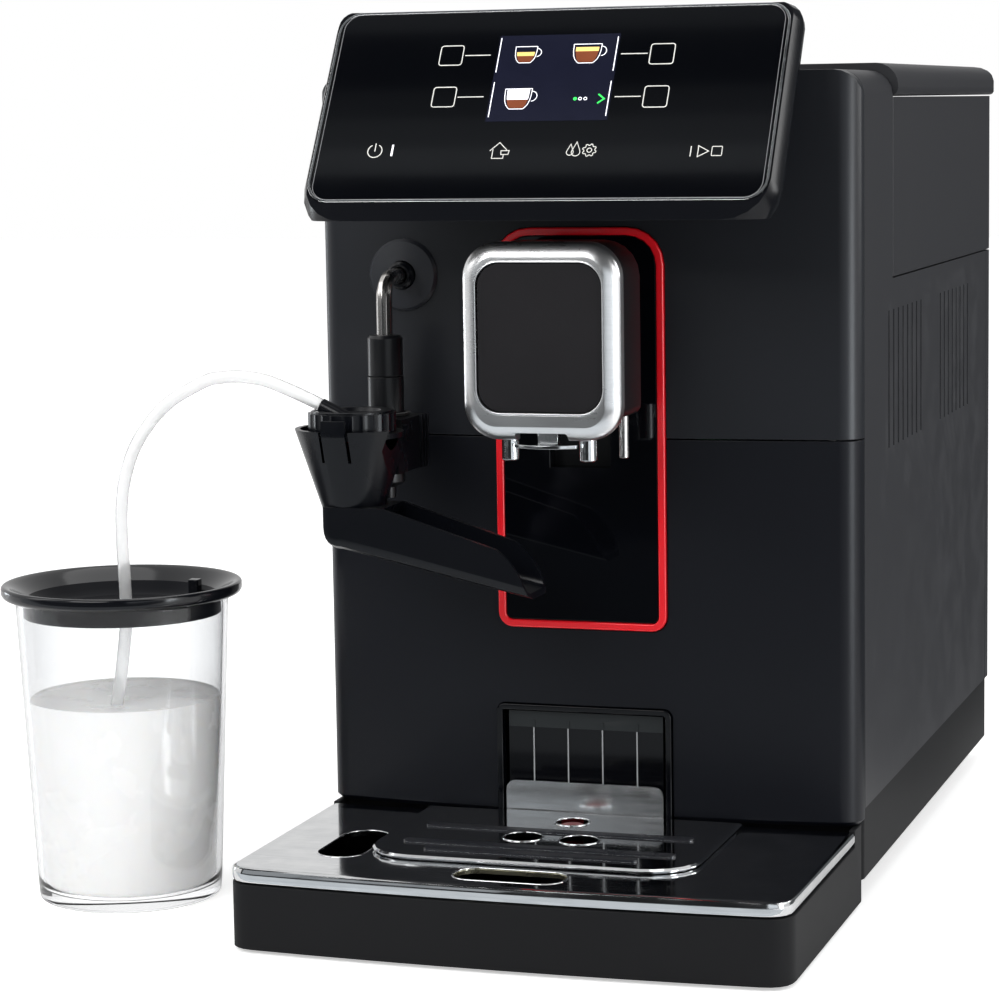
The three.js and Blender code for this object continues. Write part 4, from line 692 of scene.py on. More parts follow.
CASING = Plastic(
    "Matt casing plastic",
    "body_black",
    (0.024, 0.0245, 0.028),
    (0.0247, 0.0252, 0.0287),
    (0.06, 0.061, 0.066),
    0.46,
    0.004,
    specular=0.28,
    dust=0.001,
)
TRAY_SHELL = Plastic(
    "Matt tray plastic",
    "body_black",
    (0.0128, 0.013, 0.0141),
    (0.0133, 0.0135, 0.0146),
    (0.045, 0.045, 0.047),
    0.5,
    0.006,
    specular=0.08,
    dust=0.001,
)
FRONT = Plastic(
    "Satin front plastic",
    "body_black",
    (0.0078, 0.0092, 0.0132),
    (0.0085, 0.0099, 0.014),
    (0.05, 0.052, 0.058),
    0.36,
    0.012,
    specular=0.48,
    grain_strength=0.16,
)
# The front plastic made darker for the lower cover: painted shade, the plastic being the same as
# the upper cover's.
SHADED_LOWER_FRONT = replace(
    FRONT,
    name="Satin front plastic in painted shade",
    colour=(0.0036, 0.0044, 0.0076),
    cloud_colour=(0.004, 0.0049, 0.0083),
    specular=0.29,
)
TRIM = Plastic(
    "Fine trim plastic",
    "trim_black",
    (0.0065, 0.007, 0.0085),
    (0.0075, 0.008, 0.0095),
    (0.05, 0.05, 0.055),
    0.28,
    0.03,
    specular=0.34,
    grain_strength=0.12,
)
PANEL_SHELL = replace(
    TRIM,
    name="Panel housing plastic",
    colour=(0.0022, 0.0027, 0.0045),
    cloud_colour=(0.0026, 0.0031, 0.005),
    roughness=0.22,
    specular=0.22,
)
SATIN = Plastic(
    "Satin frother plastic",
    "trim_black",
    (0.0018, 0.0024, 0.0044),
    (0.0024, 0.003, 0.0052),
    (0.05, 0.052, 0.058),
    0.27,
    0.03,
    specular=0.3,
    grain_strength=0.2,
)
INSERT = Plastic(
    "Textured insert",
    "trim_black",
    (0.006, 0.0052, 0.007),
    (0.0088, 0.0077, 0.0098),
    (0.05, 0.045, 0.05),
    0.55,
    0.06,
    specular=0.28,
    grain_per_metre=1300.0,
    grain_depth=0.0001,
    grain_strength=0.6,
)
GLOSS = Plastic(
    "Piano black",
    "gloss_black",
    (0.0014, 0.0017, 0.0027),
    (0.0016, 0.0019, 0.003),
    (0.02, 0.02, 0.024),
    0.045,
    0.015,
    specular=0.4,
    grain_per_metre=300.0,
    grain_depth=0.00001,
    grain_strength=0.05,
    coat=0.3,
    dust=0.005,
)
TRACK_BLACK = replace(GLOSS, name="Track black", coat=0.0, specular=0.3)
BIN_BLACK = replace(GLOSS, name="Bin black", coat=0.0, specular=0.24, roughness=0.08)
LID_GLOSS = Plastic(
    "Lid black",
    "gloss_black",
    (0.0035, 0.004, 0.006),
    (0.0045, 0.005, 0.007),
    (0.03, 0.03, 0.035),
    0.13,
    0.03,
    specular=0.45,
    grain_per_metre=400.0,
    grain_depth=0.00001,
    grain_strength=0.06,
    dust=0.0,
)
LID_DISH = replace(LID_GLOSS, name="Lid dish black", roughness=0.36, specular=0.05)
RED = Plastic(
    "Red lacquer",
    "red",
    (0.84, 0.008, 0.018),
    (0.78, 0.007, 0.016),
    (0.9, 0.12, 0.12),
    0.22,
    0.03,
    specular=0.5,
    grain_per_metre=600.0,
    grain_depth=0.00001,
    grain_strength=0.08,
    wear=0.2,
    dust=0.0,
    coat=0.3,
)
# The red lacquer made darker for the float, which sits below the cup plate's hole: painted shade of
# the recess.
SHADED_FLOAT_RED = replace(
    RED,
    name="Red lacquer in painted shade",
    colour=(0.2, 0.004, 0.008),
    cloud_colour=(0.17, 0.003, 0.007),
    worn_and_highlight_colour=(0.3, 0.03, 0.03),
    roughness=0.4,
    specular=0.2,
    coat=0.0,
)
# The cup plate's bars are embossed in its steel: this dark grey paints the dark reflection they
# show, and full edge wear paints the highlight along their edges.
BAR_PAINTED_REFLECTION = Plastic(
    "Cup plate bars, painted reflection and highlight",
    "trim_black",
    (0.0125, 0.0135, 0.0175),
    (0.015, 0.016, 0.0205),
    (0.16, 0.165, 0.175),
    0.26,
    0.04,
    specular=0.5,
    wear=1.0,
)
BIN_BAND = Plastic(
    "Lighter band of the bin",
    "gloss_black",
    (0.0125, 0.0155, 0.0165),
    (0.014, 0.017, 0.018),
    (0.05, 0.05, 0.05),
    0.2,
    0.03,
    specular=0.4,
)
# Thin light grey strips on the bin's rib edges: painted highlight.
RIB_EDGE_HIGHLIGHT = Plastic(
    "Painted highlight on rib edges",
    "trim_black",
    (0.3, 0.31, 0.32),
    (0.36, 0.37, 0.38),
    (0.5, 0.5, 0.5),
    0.3,
    0.04,
)
DISC = Plastic(
    "Satin rosette plastic",
    "trim_black",
    (0.019, 0.021, 0.027),
    (0.0215, 0.0235, 0.03),
    (0.08, 0.083, 0.092),
    0.3,
    0.03,
    specular=0.7,
)
RUBBER = Plastic(
    "Foot rubber",
    "rubber",
    (0.014, 0.014, 0.014),
    (0.02, 0.02, 0.02),
    (0.06, 0.06, 0.06),
    0.8,
    0.05,
    specular=0.2,
    grain_strength=0.5,
    dust=0.12,
    sheen=0.15,
)
IVORY = Plastic(
    "Ivory works plastic",
    "ivory",
    (0.62, 0.58, 0.48),
    (0.56, 0.52, 0.42),
    (0.7, 0.67, 0.6),
    0.45,
    0.08,
    grain_strength=0.15,
)
BOARD = Plastic(
    "Board lacquer",
    "board",
    (0.012, 0.11, 0.045),
    (0.01, 0.09, 0.038),
    (0.2, 0.3, 0.2),
    0.4,
    0.1,
    grain_per_metre=500.0,
)
CHROME = Metal(
    "Polished chrome",
    "polished",
    (0.83, 0.84, 0.85),
    (0.79, 0.8, 0.81),
    0.07,
    (400, 60, 400),
    0.000004,
)
FRAME_CHROME = Metal(
    "Satin chrome",
    "polished",
    (0.93, 0.93, 0.935),
    (0.89, 0.892, 0.896),
    0.27,
    (60, 300, 900),
    0.000003,
    streak_roughness=0.03,
    smudge=0.02,
)
TAB_STEEL = Metal(
    "Soft polished steel",
    "steel",
    (0.86, 0.87, 0.88),
    (0.78, 0.79, 0.8),
    0.16,
    (60, 300, 900),
    0.000004,
)
WARM_STEEL = Metal(
    "Warm cut edge",
    "steel",
    (0.86, 0.82, 0.62),
    (0.8, 0.76, 0.56),
    0.22,
    (60, 60, 300),
    0.000004,
)
TRAY_STEEL = Metal(
    "Mirror tray steel",
    "steel",
    (0.72, 0.73, 0.74),
    (0.66, 0.67, 0.68),
    0.05,
    (40, 900, 400),
    0.000003,
)
PIPE_STEEL = Metal(
    "Brushed pipe steel",
    "steel",
    (0.66, 0.64, 0.62),
    (0.52, 0.5, 0.48),
    0.17,
    (900, 900, 60),
    0.00001,
    streak_roughness=0.1,
)
WORKS_STEEL = Metal(
    "Works steel",
    "steel",
    (0.55, 0.55, 0.56),
    (0.45, 0.45, 0.46),
    0.32,
    (200, 200, 900),
    0.00001,
    streak_roughness=0.1,
)
SMOKE = See("Smoked plastic", "smoke", (0.045, 0.047, 0.052), 0.12, 1.49, 0.55)
GLASS = See("Clear glass", "clear", (0.955, 0.96, 0.965), 0.0, 1.38, rim=0.8)
TUBE = See("Milky hose", "hose", (0.98, 0.985, 0.99), 0.16, 1.33, 0.62, coat=0.2, scatter=0.6)
MILK = Liquid("Milk", "milk", (0.975, 0.97, 0.96), (0.955, 0.95, 0.94), 0.3)
# The print is no lamp: its glow is painted light.
PRINT = Lit("Pale print with painted glow", "ivory", (0.75, 0.74, 0.7), 0.35)
LAMP = Lit("White light", "ivory", (0.95, 0.95, 1.0), 0.9)
FIELD = Lit("Display field", "gloss_black", (0.0085, 0.0095, 0.022), 0.2)
# A faint glowing grey line along the glass' edge: painted highlight.
PANEL_EDGE_HIGHLIGHT = Lit("Painted highlight along the glass' edge", "ivory", (0.2, 0.2, 0.21), 0.12)
GO = Lit("Green light", "board", (0.05, 0.8, 0.12), 0.9)
COFFEE = Lit("Coffee on the display", "red", (0.16, 0.045, 0.02), 0.8)
CREAM = Lit("Crema on the display", "ivory", (0.85, 0.55, 0.18), 0.8)


class Palette:
    """Every material, built when it is first used."""

    def __init__(self) -> None:
        """Starts empty."""
        self.made: dict[str, bpy.types.Material] = {}

    def get(self, finish: Finish) -> bpy.types.Material:
        """The material of a finish.

        Args:
            finish: The finish.

        Returns:
            Its material.
        """
        if finish.name not in self.made:
            self.made[finish.name] = finish.material()
        return self.made[finish.name]


PALETTE = Palette()


# ---------------------------------------------------------------------------------------
# Meshes
# ---------------------------------------------------------------------------------------


@dataclass(frozen=True)
class Accent:
    """A second finish, on the faces whose middle lies in a box of the machine's frame."""

    finish: Finish
    low: Point
    high: Point

    def covers(self, middle: Vector) -> bool:
        """True where a face's middle is in the box."""
        return all(a <= b <= c for a, b, c in zip(self.low, middle, self.high))


@dataclass(frozen=True)
class Edges:
    """How the sharp edges of a piece are rounded."""

    width: float = 0.4
    segments: int = 3
    from_angle: float = 32.0


FINE = Edges(0.2)
SOFT = Edges(0.8)
PLAIN = Edges(0.4, 2)


def arc(x: float, y: float, radius: float, start: float, end: float, steps: int) -> list[Flat]:
    """Points on an arc.

    Args:
        x: The centre's first place.
        y: The centre's second place.
        radius: The radius.
        start: Where it starts, in degrees.
        end: Where it ends, in degrees.
        steps: How many steps it has.

    Returns:
        The points.
    """
    angles = (math.radians(start + (end - start) * i / steps) for i in range(steps + 1))
    return [(x + radius * math.cos(a), y + radius * math.sin(a)) for a in angles]


def circle(x: float, y: float, radius: float, sides: int) -> list[Flat]:
    """The points of a whole circle, each once.

    Args:
        x: The centre's first place.
        y: The centre's second place.
        radius: The radius.
        sides: How many points it has.

    Returns:
        The points.
    """
    return arc(x, y, radius, 0, 360, sides)[:-1]


def rounded(
    x0: float, y0: float, x1: float, y1: float, radius: float, steps: int = 8
) -> list[Flat]:
    """A rectangle with round corners.

    Args:
        x0: Its left side.
        y0: Its foot.
        x1: Its right side.
        y1: Its top.
        radius: The corners' radius.
        steps: Steps in each corner.

    Returns:
        The points, the same number for any size.
    """
    r = max(radius, SMALLEST_CORNER)
    return [
        *arc(x0 + r, y0 + r, r, 180, 270, steps),
        *arc(x1 - r, y0 + r, r, 270, 360, steps),
        *arc(x1 - r, y1 - r, r, 0, 90, steps),
        *arc(x0 + r, y1 - r, r, 90, 180, steps),
    ]


def stand(points: Sequence[Flat], axis: Axis, depth: float) -> list[Point]:
    """A flat drawing put at a depth on an axis.

    Args:
        points: The drawing.
        axis: The axis that it faces.
        depth: Its place on that axis.

    Returns:
        The points in the machine's frame.
    """
    if axis is Axis.X:
        return [(depth, a, b) for a, b in points]
    if axis is Axis.Y:
        return [(a, depth, b) for a, b in points]
    return [(a, b, depth) for a, b in points]


class Piece:
    """One mesh under construction, in the machine's millimetres."""

    def __init__(self, name: str) -> None:
        """Starts an empty mesh.

        Args:
            name: The piece's name.
        """
        self.name = name
        self.mesh = bmesh.new()

    def ring(self, points: Sequence[Point]) -> list[bmesh.types.BMVert]:
        """Adds points in a row."""
        return [self.mesh.verts.new(MACHINE.point(*p)) for p in points]

    def bridge(self, first: list[bmesh.types.BMVert], second: list[bmesh.types.BMVert]) -> None:
        """Joins two rings of as many points with faces.

        Args:
            first: A ring.
            second: The next ring.
        """
        count = len(first)
        for i in range(count):
            j = (i + 1) % count
            self.mesh.faces.new((first[i], first[j], second[j], second[i]))

    def loops(self, rings: Sequence[Sequence[Point]], closed: bool = False) -> None:
        """Joins rings in a row, and closes the last to the first or both with a face.

        Args:
            rings: The rings.
            closed: True where the last ring meets the first.
        """
        made = [self.ring(ring) for ring in rings]
        for first, second in zip(made, made[1:]):
            self.bridge(first, second)
        if closed:
            self.bridge(made[-1], made[0])
        else:
            self.mesh.faces.new(list(reversed(made[0])))
            self.mesh.faces.new(made[-1])

    def lathe(
        self, profile: Sequence[Flat], sides: int, x: float, y: float, closed: bool = False
    ) -> None:
        """Turns a profile of radius and height about an upright axis.

        Args:
            profile: Points of radius and height.
            sides: How many sides the turned form has.
            x: The axis' place.
            y: The axis' place.
            closed: True where the profile's end meets its start.
        """
        rings = [
            stand(circle(x, y, max(radius, SMALLEST_RADIUS), sides), Axis.Z, z)
            for radius, z in profile
        ]
        self.loops(rings, closed)

    def tube(self, path: Sequence[Vector], radius: float, sides: int) -> None:
        """A round bar along a path.

        Args:
            path: Points in the machine's frame.
            radius: The bar's radius.
            sides: How many sides it has.
        """
        side = Vector((0, 1, 0))
        rings = []
        for i, place in enumerate(path):
            before = path[max(i - 1, 0)]
            after = path[min(i + 1, len(path) - 1)]
            ahead = (after - before).normalized()
            side = (side - ahead * side.dot(ahead)).normalized()
            other = ahead.cross(side)
            round_it = circle(0, 0, radius, sides)
            rings.append([tuple(place + side * a + other * b) for a, b in round_it])
        self.loops(rings)

    def take(self, node: str) -> None:
        """Copies a node of the frame, with its flat faces joined.

        Args:
            node: The node's name.
        """
        self.mesh.from_mesh(frame["nodes"][node].data)
        bmesh.ops.remove_doubles(self.mesh, verts=self.mesh.verts, dist=WELD_METRES)
        bmesh.ops.dissolve_limit(
            self.mesh,
            angle_limit=math.radians(FLAT_DEGREES),
            verts=self.mesh.verts,
            edges=self.mesh.edges,
        )

    def part_at(self, axis: Axis, place: float) -> None:
        """Divides the faces along a level, for a finish that changes there.

        Args:
            axis: The axis that the level faces.
            place: Its place on that axis.
        """
        level = MACHINE.point(*(stand([(0, 0)], axis, place)[0]))
        facing = stand([(0, 0)], axis, 1)[0]
        geometry = [*self.mesh.verts, *self.mesh.edges, *self.mesh.faces]
        bmesh.ops.bisect_plane(self.mesh, geom=geometry, plane_co=level, plane_no=facing)

    def carve(self, cutter: "Piece") -> None:
        """Cuts another closed form out of this one.

        Args:
            cutter: The form that is cut out, which is used up.
        """
        parts = []
        for piece in (self, cutter):
            bmesh.ops.recalc_face_normals(piece.mesh, faces=piece.mesh.faces)
            mesh = bpy.data.meshes.new(piece.name)
            piece.mesh.to_mesh(mesh)
            piece.mesh.free()
            part = bpy.data.objects.new(piece.name, mesh)
            bpy.context.scene.collection.objects.link(part)
            parts.append(part)
        carving = parts[0].modifiers.new("Carving", "BOOLEAN")
        carving.operation = "DIFFERENCE"
        carving.solver = "EXACT"
        carving.object = parts[1]
        evaluated = parts[0].evaluated_get(bpy.context.evaluated_depsgraph_get())
        self.mesh = bmesh.new()
        self.mesh.from_mesh(evaluated.to_mesh())
        for part in parts:
            bpy.data.objects.remove(part)

    def done(
        self,
        finish: Finish,
        body: Body | None,
        nodes: Sequence[str],
        edges: Edges | None = Edges(),
        accents: Sequence[Accent] = (),
    ) -> bpy.types.Object:
        """Rounds the edges, dresses the piece and sets it on its body.

        Args:
            finish: Its finish.
            body: The body it rides on, or None for a piece that is set later.
            nodes: The nodes it stands for.
            edges: How its edges are rounded, or None for a piece without sharp edges.
            accents: Finishes of some of its faces.

        Returns:
            The object.
        """
        bm = self.mesh
        bmesh.ops.remove_doubles(bm, verts=bm.verts, dist=WELD_METRES)
        if not nodes or edges is None:
            bmesh.ops.recalc_face_normals(bm, faces=bm.faces)
        if edges is not None:
            limit = math.radians(edges.from_angle)
            sharp = [e for e in bm.edges if e.is_manifold and e.calc_face_angle(0.0) > limit]
            bmesh.ops.bevel(
                bm,
                geom=sharp,
                offset=edges.width * MACHINE.scale,
                offset_type="OFFSET",
                segments=edges.segments,
                profile=0.5,
                affect="EDGES",
                clamp_overlap=True,
            )
        mesh = bpy.data.meshes.new(self.name)
        bm.to_mesh(mesh)
        bm.free()
        if "custom_normal" in mesh.attributes:
            mesh.attributes.remove(mesh.attributes["custom_normal"])
        mesh.materials.clear()
        mesh.materials.append(PALETTE.get(finish))
        for accent in accents:
            mesh.materials.append(PALETTE.get(accent.finish))
        shift = Vector((MACHINE.x, MACHINE.y, 0))
        for face in mesh.polygons:
            middle = face.center / MACHINE.scale - shift
            covering = [index for index, accent in enumerate(accents, 1) if accent.covers(middle)]
            face.material_index = max(covering, default=0)
        mesh.shade_smooth()
        mesh.set_sharp_from_angle(angle=math.radians(SHARP_DEGREES))
        made = bpy.data.objects.new(self.name, mesh)
        bpy.context.scene.collection.objects.link(made)
        even = made.modifiers.new("Even shading", "WEIGHTED_NORMAL")
        even.keep_sharp = True
        if nodes:
            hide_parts(*nodes)
        if body is not None:
            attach(made, body.value)
        log.info("%s: %d faces", self.name, len(mesh.polygons))
        return made


def dressed(
    node: str,
    finish: Finish,
    body: Body,
    edges: Edges = Edges(),
    accents: Sequence[Accent] = (),
    levels: Sequence[tuple[Axis, float]] = (),
) -> bpy.types.Object:
    """A node of the frame with round edges and its finish.

    Args:
        node: The node.
        finish: Its finish.
        body: The body it rides on.
        edges: How its edges are rounded.
        accents: Finishes of some of its faces.
        levels: Where faces are divided for an accent.

    Returns:
        The object that stands for the node.
    """
    piece = Piece("fine_" + node)
    piece.take(node)
    for axis, place in levels:
        piece.part_at(axis, place)
    return piece.done(finish, body, [node], edges, accents)


def smooth_path(points: Sequence[Point], steps: int) -> list[Vector]:
    """A curve through points, in even numbers of steps between them.

    Args:
        points: The points.
        steps: Steps between two points.

    Returns:
        The points of the curve.
    """
    given = [Vector(p) for p in points]
    ends = [2 * given[0] - given[1], *given, 2 * given[-1] - given[-2]]
    made = []
    for a, b, c, d in zip(ends, ends[1:], ends[2:], ends[3:]):
        for i in range(steps):
            t = i / steps
            made.append(
                0.5
                * (
                    2 * b
                    + (c - a) * t
                    + (2 * a - 5 * b + 4 * c - d) * t * t
                    + (3 * b - a - 3 * c + d) * t * t * t
                )
            )
    return [*made, given[-1]]


# ---------------------------------------------------------------------------------------
# Studio
# ---------------------------------------------------------------------------------------


@dataclass(frozen=True)
class Lamp:
    """A softbox that faces the object, with its size in metres and its power in watts."""

    name: str
    place: Point
    wide: float
    high: float
    power: float


@dataclass(frozen=True)
class Card:
    """A card that only reflections see, upright or flat."""

    name: str
    first: Point
    last: Point
    level: float


@dataclass
class Studio:
    """The camera, the pale floor and the soft light."""

    place: Point = (0.41459, -1.29034, 0.31924)
    ahead: Point = (-0.30898, 0.94284, -0.12488)
    level: Point = (0.95027, 0.31142, 0.0)
    upright: Point = (-0.03889, 0.11867, 0.99217)
    roll: float = -0.9167
    lens: float = 112.17
    sensor: float = 36.0
    floor_half: float = 6.0
    floor_drop: float = 0.0003
    floor_lift: float = 0.5
    floor_tints: tuple[Colour, Colour] = ((0.93, 0.93, 0.93), (0.95, 0.95, 0.95))
    floor_grain_per_metre: float = 700.0
    floor_clouds_per_metre: float = 2.0
    floor_roughness: float = 0.5
    floor_specular: float = 0.2
    aim: Point = (0.0, 0.0, 0.15)
    sky: float = 0.55
    seen_sky: float = 0.45
    mirrored_share: float = 0.5
    card_tint: Colour = (0.9, 0.955, 1.0)
    lamps: tuple[Lamp, ...] = (
        Lamp("Left softbox", (-1.5, -0.9, 1.3), 1.3, 1.3, 9.0),
        Lamp("Right softbox", (1.7, -0.2, 1.1), 1.5, 1.5, 5.2),
        Lamp("Top softbox", (0.05, 0.2, 1.9), 1.6, 1.6, 9.0),
        Lamp("Front softbox", (-0.27, -0.98, 0.73), 0.6, 0.4, 4.0),
        Lamp("Right strip", (1.45, -0.62, 0.58), 0.22, 1.2, 3.6),
        Lamp("Rear right strip", (1.25, 0.58, 0.66), 0.34, 0.8, 4.4),
    )
    cards: tuple[Card, ...] = (
        Card("Front card", (-1.7, -1.12, 0.0), (1.3, -1.12, 3.2), 0.02),
        Card("Floor card", (-1.7, -1.12, 0.0002), (1.3, -0.52, 0.0002), 0.07),
        Card("Near floor card", (-1.7, -0.52, 0.0002), (0.3, -0.235, 0.0002), 0.75),
        Card("Soft card", (-1.3, -1.1, 0.08), (-0.48, -1.1, 0.85), 0.32),
        Card("Low card", (-0.47, -1.1, 0.1), (-0.22, -1.1, 0.34), 0.36),
        Card("Right card", (0.42, -1.1, 0.0), (1.25, -1.1, 0.5), 0.9),
        Card("Corner card", (0.62, -0.47, 0.0), (1.5, -0.47, 0.25), 8.0),
        Card("Left corner card", (-1.6, 0.3, 0.0), (-0.95, 0.3, 0.25), 6.0),
        Card("Side card", (0.2, 1.0, 0.0), (2.4, 1.0, 1.3), 0.1),
        Card("Side floor card", (0.2, 0.12, 0.0002), (2.4, 1.0, 0.0002), 0.12),
        Card("High card", (-1.7, -1.11, 2.24), (1.3, -1.11, 2.31), 0.38),
        Card("Higher card", (-1.7, -1.11, 2.31), (1.3, -1.11, 2.39), 0.22),
        Card("Still higher card", (-1.7, -1.11, 2.39), (1.3, -1.11, 2.47), 0.11),
        Card("Top card", (-1.7, -1.11, 2.64), (1.3, -1.11, 3.2), 0.2),
    )

    def camera(self) -> None:
        """Sets the camera at the photograph's view."""
        data = bpy.data.cameras.new("View")
        data.lens = self.lens
        data.sensor_width = self.sensor
        angle = math.radians(self.roll)
        right = math.cos(angle) * Vector(self.level) + math.sin(angle) * Vector(self.upright)
        up = math.cos(angle) * Vector(self.upright) - math.sin(angle) * Vector(self.level)
        back = -Vector(self.ahead)
        turn = Matrix((right, up, back)).transposed().to_4x4()
        camera = bpy.data.objects.new("View", data)
        camera.matrix_world = Matrix.Translation(self.place) @ turn
        bpy.context.scene.collection.objects.link(camera)
        bpy.context.scene.camera = camera

    def floor(self) -> None:
        """Lays the pale floor, which looks white where no shadow falls."""
        mesh = bpy.data.meshes.new("Floor")
        half, level = self.floor_half, -self.floor_drop
        corners = [(-half, -half), (half, -half), (half, half), (-half, half)]
        mesh.from_pydata([(x, y, level) for x, y in corners], [], [(0, 1, 2, 3)])
        floor = bpy.data.objects.new("Floor", mesh)
        bpy.context.scene.collection.objects.link(floor)
        painter = Painter("Pale floor")
        cloud = painter.place(
            Effects.mould_grain,
            Per_Metre=self.floor_grain_per_metre,
            Clouds=self.floor_clouds_per_metre,
        )
        ends = [with_alpha(tint) for tint in self.floor_tints]
        tint = painter.nodes.blend(cloud.outputs["Cloud"], *ends)
        painter.set("Base Color", tint)
        painter.set("Roughness", self.floor_roughness)
        painter.set("Specular IOR Level", self.floor_specular)
        light = painter.nodes.add("ShaderNodeLightPath")
        seen = painter.nodes.math(
            "MAXIMUM", light.outputs["Is Camera Ray"], light.outputs["Is Transmission Ray"]
        )
        painter.set("Emission Color", (1, 1, 1, 1))
        painter.set("Emission Strength", painter.nodes.math("MULTIPLY", seen, self.floor_lift))
        mesh.materials.append(painter.material)

    def light(self) -> None:
        """Hangs the softboxes and the pale surroundings."""
        for lamp in self.lamps:
            data = bpy.data.lights.new(lamp.name, "AREA")
            data.shape = "RECTANGLE"
            data.energy = lamp.power
            data.size = lamp.wide
            data.size_y = lamp.high
            made = bpy.data.objects.new(lamp.name, data)
            made.location = lamp.place
            back = Vector(lamp.place) - Vector(self.aim)
            made.rotation_euler = back.to_track_quat("Z", "Y").to_euler()
            made.visible_camera = False
            bpy.context.scene.collection.objects.link(made)
        world = bpy.data.worlds.new("Surroundings")
        world.use_nodes = True
        nodes = Nodes(world.node_tree)
        world.node_tree.nodes.clear()
        path = nodes.add("ShaderNodeLightPath")
        seen = nodes.math(
            "MAXIMUM", path.outputs["Is Camera Ray"], path.outputs["Is Transmission Ray"]
        )
        mirrored = nodes.math("MULTIPLY", path.outputs["Is Glossy Ray"], self.mirrored_share)
        seen = nodes.math("MAXIMUM", seen, mirrored)
        light = nodes.add("ShaderNodeBackground")
        light.inputs["Color"].default_value = (1, 1, 1, 1)
        strength = nodes.math("MULTIPLY_ADD", seen, self.seen_sky, self.sky)
        nodes.feed(light.inputs["Strength"], strength)
        nodes.feed(nodes.add("ShaderNodeOutputWorld").inputs["Surface"], light.outputs[0])
        bpy.context.scene.world = world

    def reflections(self) -> None:
        """Stands the cards, which only reflections see."""
        for card in self.cards:
            (x0, y0, z0), (x1, y1, z1) = card.first, card.last
            corners = [card.first, (x1, y0, z0), card.last, (x0, y1, z1)]
            mesh = bpy.data.meshes.new(card.name)
            mesh.from_pydata(corners, [], [(0, 1, 2, 3)])
            made = bpy.data.objects.new(card.name, mesh)
            bpy.context.scene.collection.objects.link(made)
            painter = Painter(card.name)
            painter.set("Base Color", (0, 0, 0, 1))
            painter.set("Specular IOR Level", 0.0)
            painter.set("Emission Color", with_alpha(self.card_tint))
            painter.set("Emission Strength", card.level)
            mesh.materials.append(painter.material)
            made.visible_camera = False
            made.visible_diffuse = False
            made.visible_transmission = False
            made.visible_shadow = False

    def build(self) -> None:
        """Builds the whole studio."""
        self.camera()
        self.floor()
        self.light()
        self.reflections()
        log.info("studio")


# ---------------------------------------------------------------------------------------
# The machine's sub-assemblies
# ---------------------------------------------------------------------------------------


@dataclass
class MilkHose:
    """The hose from the frother's cap through the lid into the milk."""

    diameter: float = 0.005
    sides: int = 20
    steps: int = 4
    still_from: int = 14
    ends: Edges = Edges(0.3, 2, 60)
    route: tuple[Point, ...] = (
        (-0.0296, -0.15805, 0.20505),
        (-0.0361, -0.15815, 0.208),
        (-0.0437, -0.15825, 0.2112),
        (-0.0522, -0.15825, 0.2142),
        (-0.0591, -0.15835, 0.2154),
        (-0.0659, -0.15835, 0.2158),
        (-0.0723, -0.15835, 0.2152),
        (-0.0783, -0.15835, 0.2138),
        (-0.0908, -0.15845, 0.2074),
        (-0.0981, -0.15845, 0.2018),
        (-0.104, -0.15855, 0.1952),
        (-0.1085, -0.15855, 0.1888),
        (-0.1118, -0.15855, 0.182),
        (-0.1147, -0.15855, 0.1726),
        (-0.1161, -0.15855, 0.1635),
        (-0.1165, -0.15855, 0.1526),
        (-0.1163, -0.15855, 0.1449),
        (-0.1159, -0.15855, 0.1369),
        (-0.1156, -0.15855, 0.1261),
        (-0.1157, -0.15855, 0.118),
        (-0.1163, -0.15855, 0.111),
        (-0.1185, -0.15865, 0.095),
        (-0.1215, -0.15865, 0.079),
        (-0.1245, -0.15825, 0.062),
        (-0.1275, -0.15765, 0.044),
        (-0.1303, -0.15685, 0.026),
        (-0.1321, -0.15625, 0.013),
    )

    def build(self) -> None:
        shift = Vector((MACHINE.x, MACHINE.y, 0))
        points = [tuple(Vector(p) / MACHINE.scale - shift) for p in self.route]
        path = smooth_path(points, self.steps)
        piece = Piece("hose")
        piece.tube(path, self.diameter / 2 / MACHINE.scale, self.sides)
        hose = piece.done(TUBE, None, ["milk_hose"], self.ends)
        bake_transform(hose)


@dataclass
class BodyShell:
    """Base, feet, casing, covers and the service door."""

    feet: tuple[str, ...] = ("front_left", "front_right", "rear_left", "rear_right")

    def build(self) -> None:
        """Builds the shell."""
        dressed("base_plinth", TRAY_SHELL, Body.MACHINE)
        for foot in self.feet:
            dressed("foot_" + foot, RUBBER, Body.MACHINE)
        dressed("outer_casing", CASING, Body.MACHINE, FINE)
        # The lower cover wears the front plastic in painted shade.
        dressed("front_cover_lower", SHADED_LOWER_FRONT, Body.MACHINE, FINE)
        dressed("front_cover_upper", FRONT, Body.MACHINE, FINE)
        dressed("rear_cover", CASING, Body.MACHINE, FINE)
        dressed("service_door", CASING, Body.DOOR, FINE)
        dressed("power_inlet", TRIM, Body.MACHINE, FINE)
        dressed("switch_housing", TRIM, Body.MACHINE, FINE)
        dressed("power_switch", TRIM, Body.SWITCH, FINE)


@dataclass
class SpoutTrack:
    """The gloss panel with the spout's slot, and the trims round the two openings."""

    def build(self) -> None:
        """Builds the track."""
        dressed("red_ring", RED, Body.MACHINE, Edges(0.7, 4))
        dressed("spout_track", TRACK_BLACK, Body.MACHINE, FINE)
        dressed("opening_frame", BIN_BLACK, Body.MACHINE, Edges(0.5, 3))


class Mark(Enum):
    """The pieces that gather the panel's marks of one finish."""

    PRINT = "panel_print"
    LIGHTS = "panel_lights"
    FIELD = "panel_field"
    CUPS = "panel_cups"
    COFFEE = "panel_coffee"
    CREMA = "panel_crema"
    FROTH = "panel_froth"
    GREEN = "panel_green"
    PANEL_EDGE_HIGHLIGHT = "panel_edge_line"


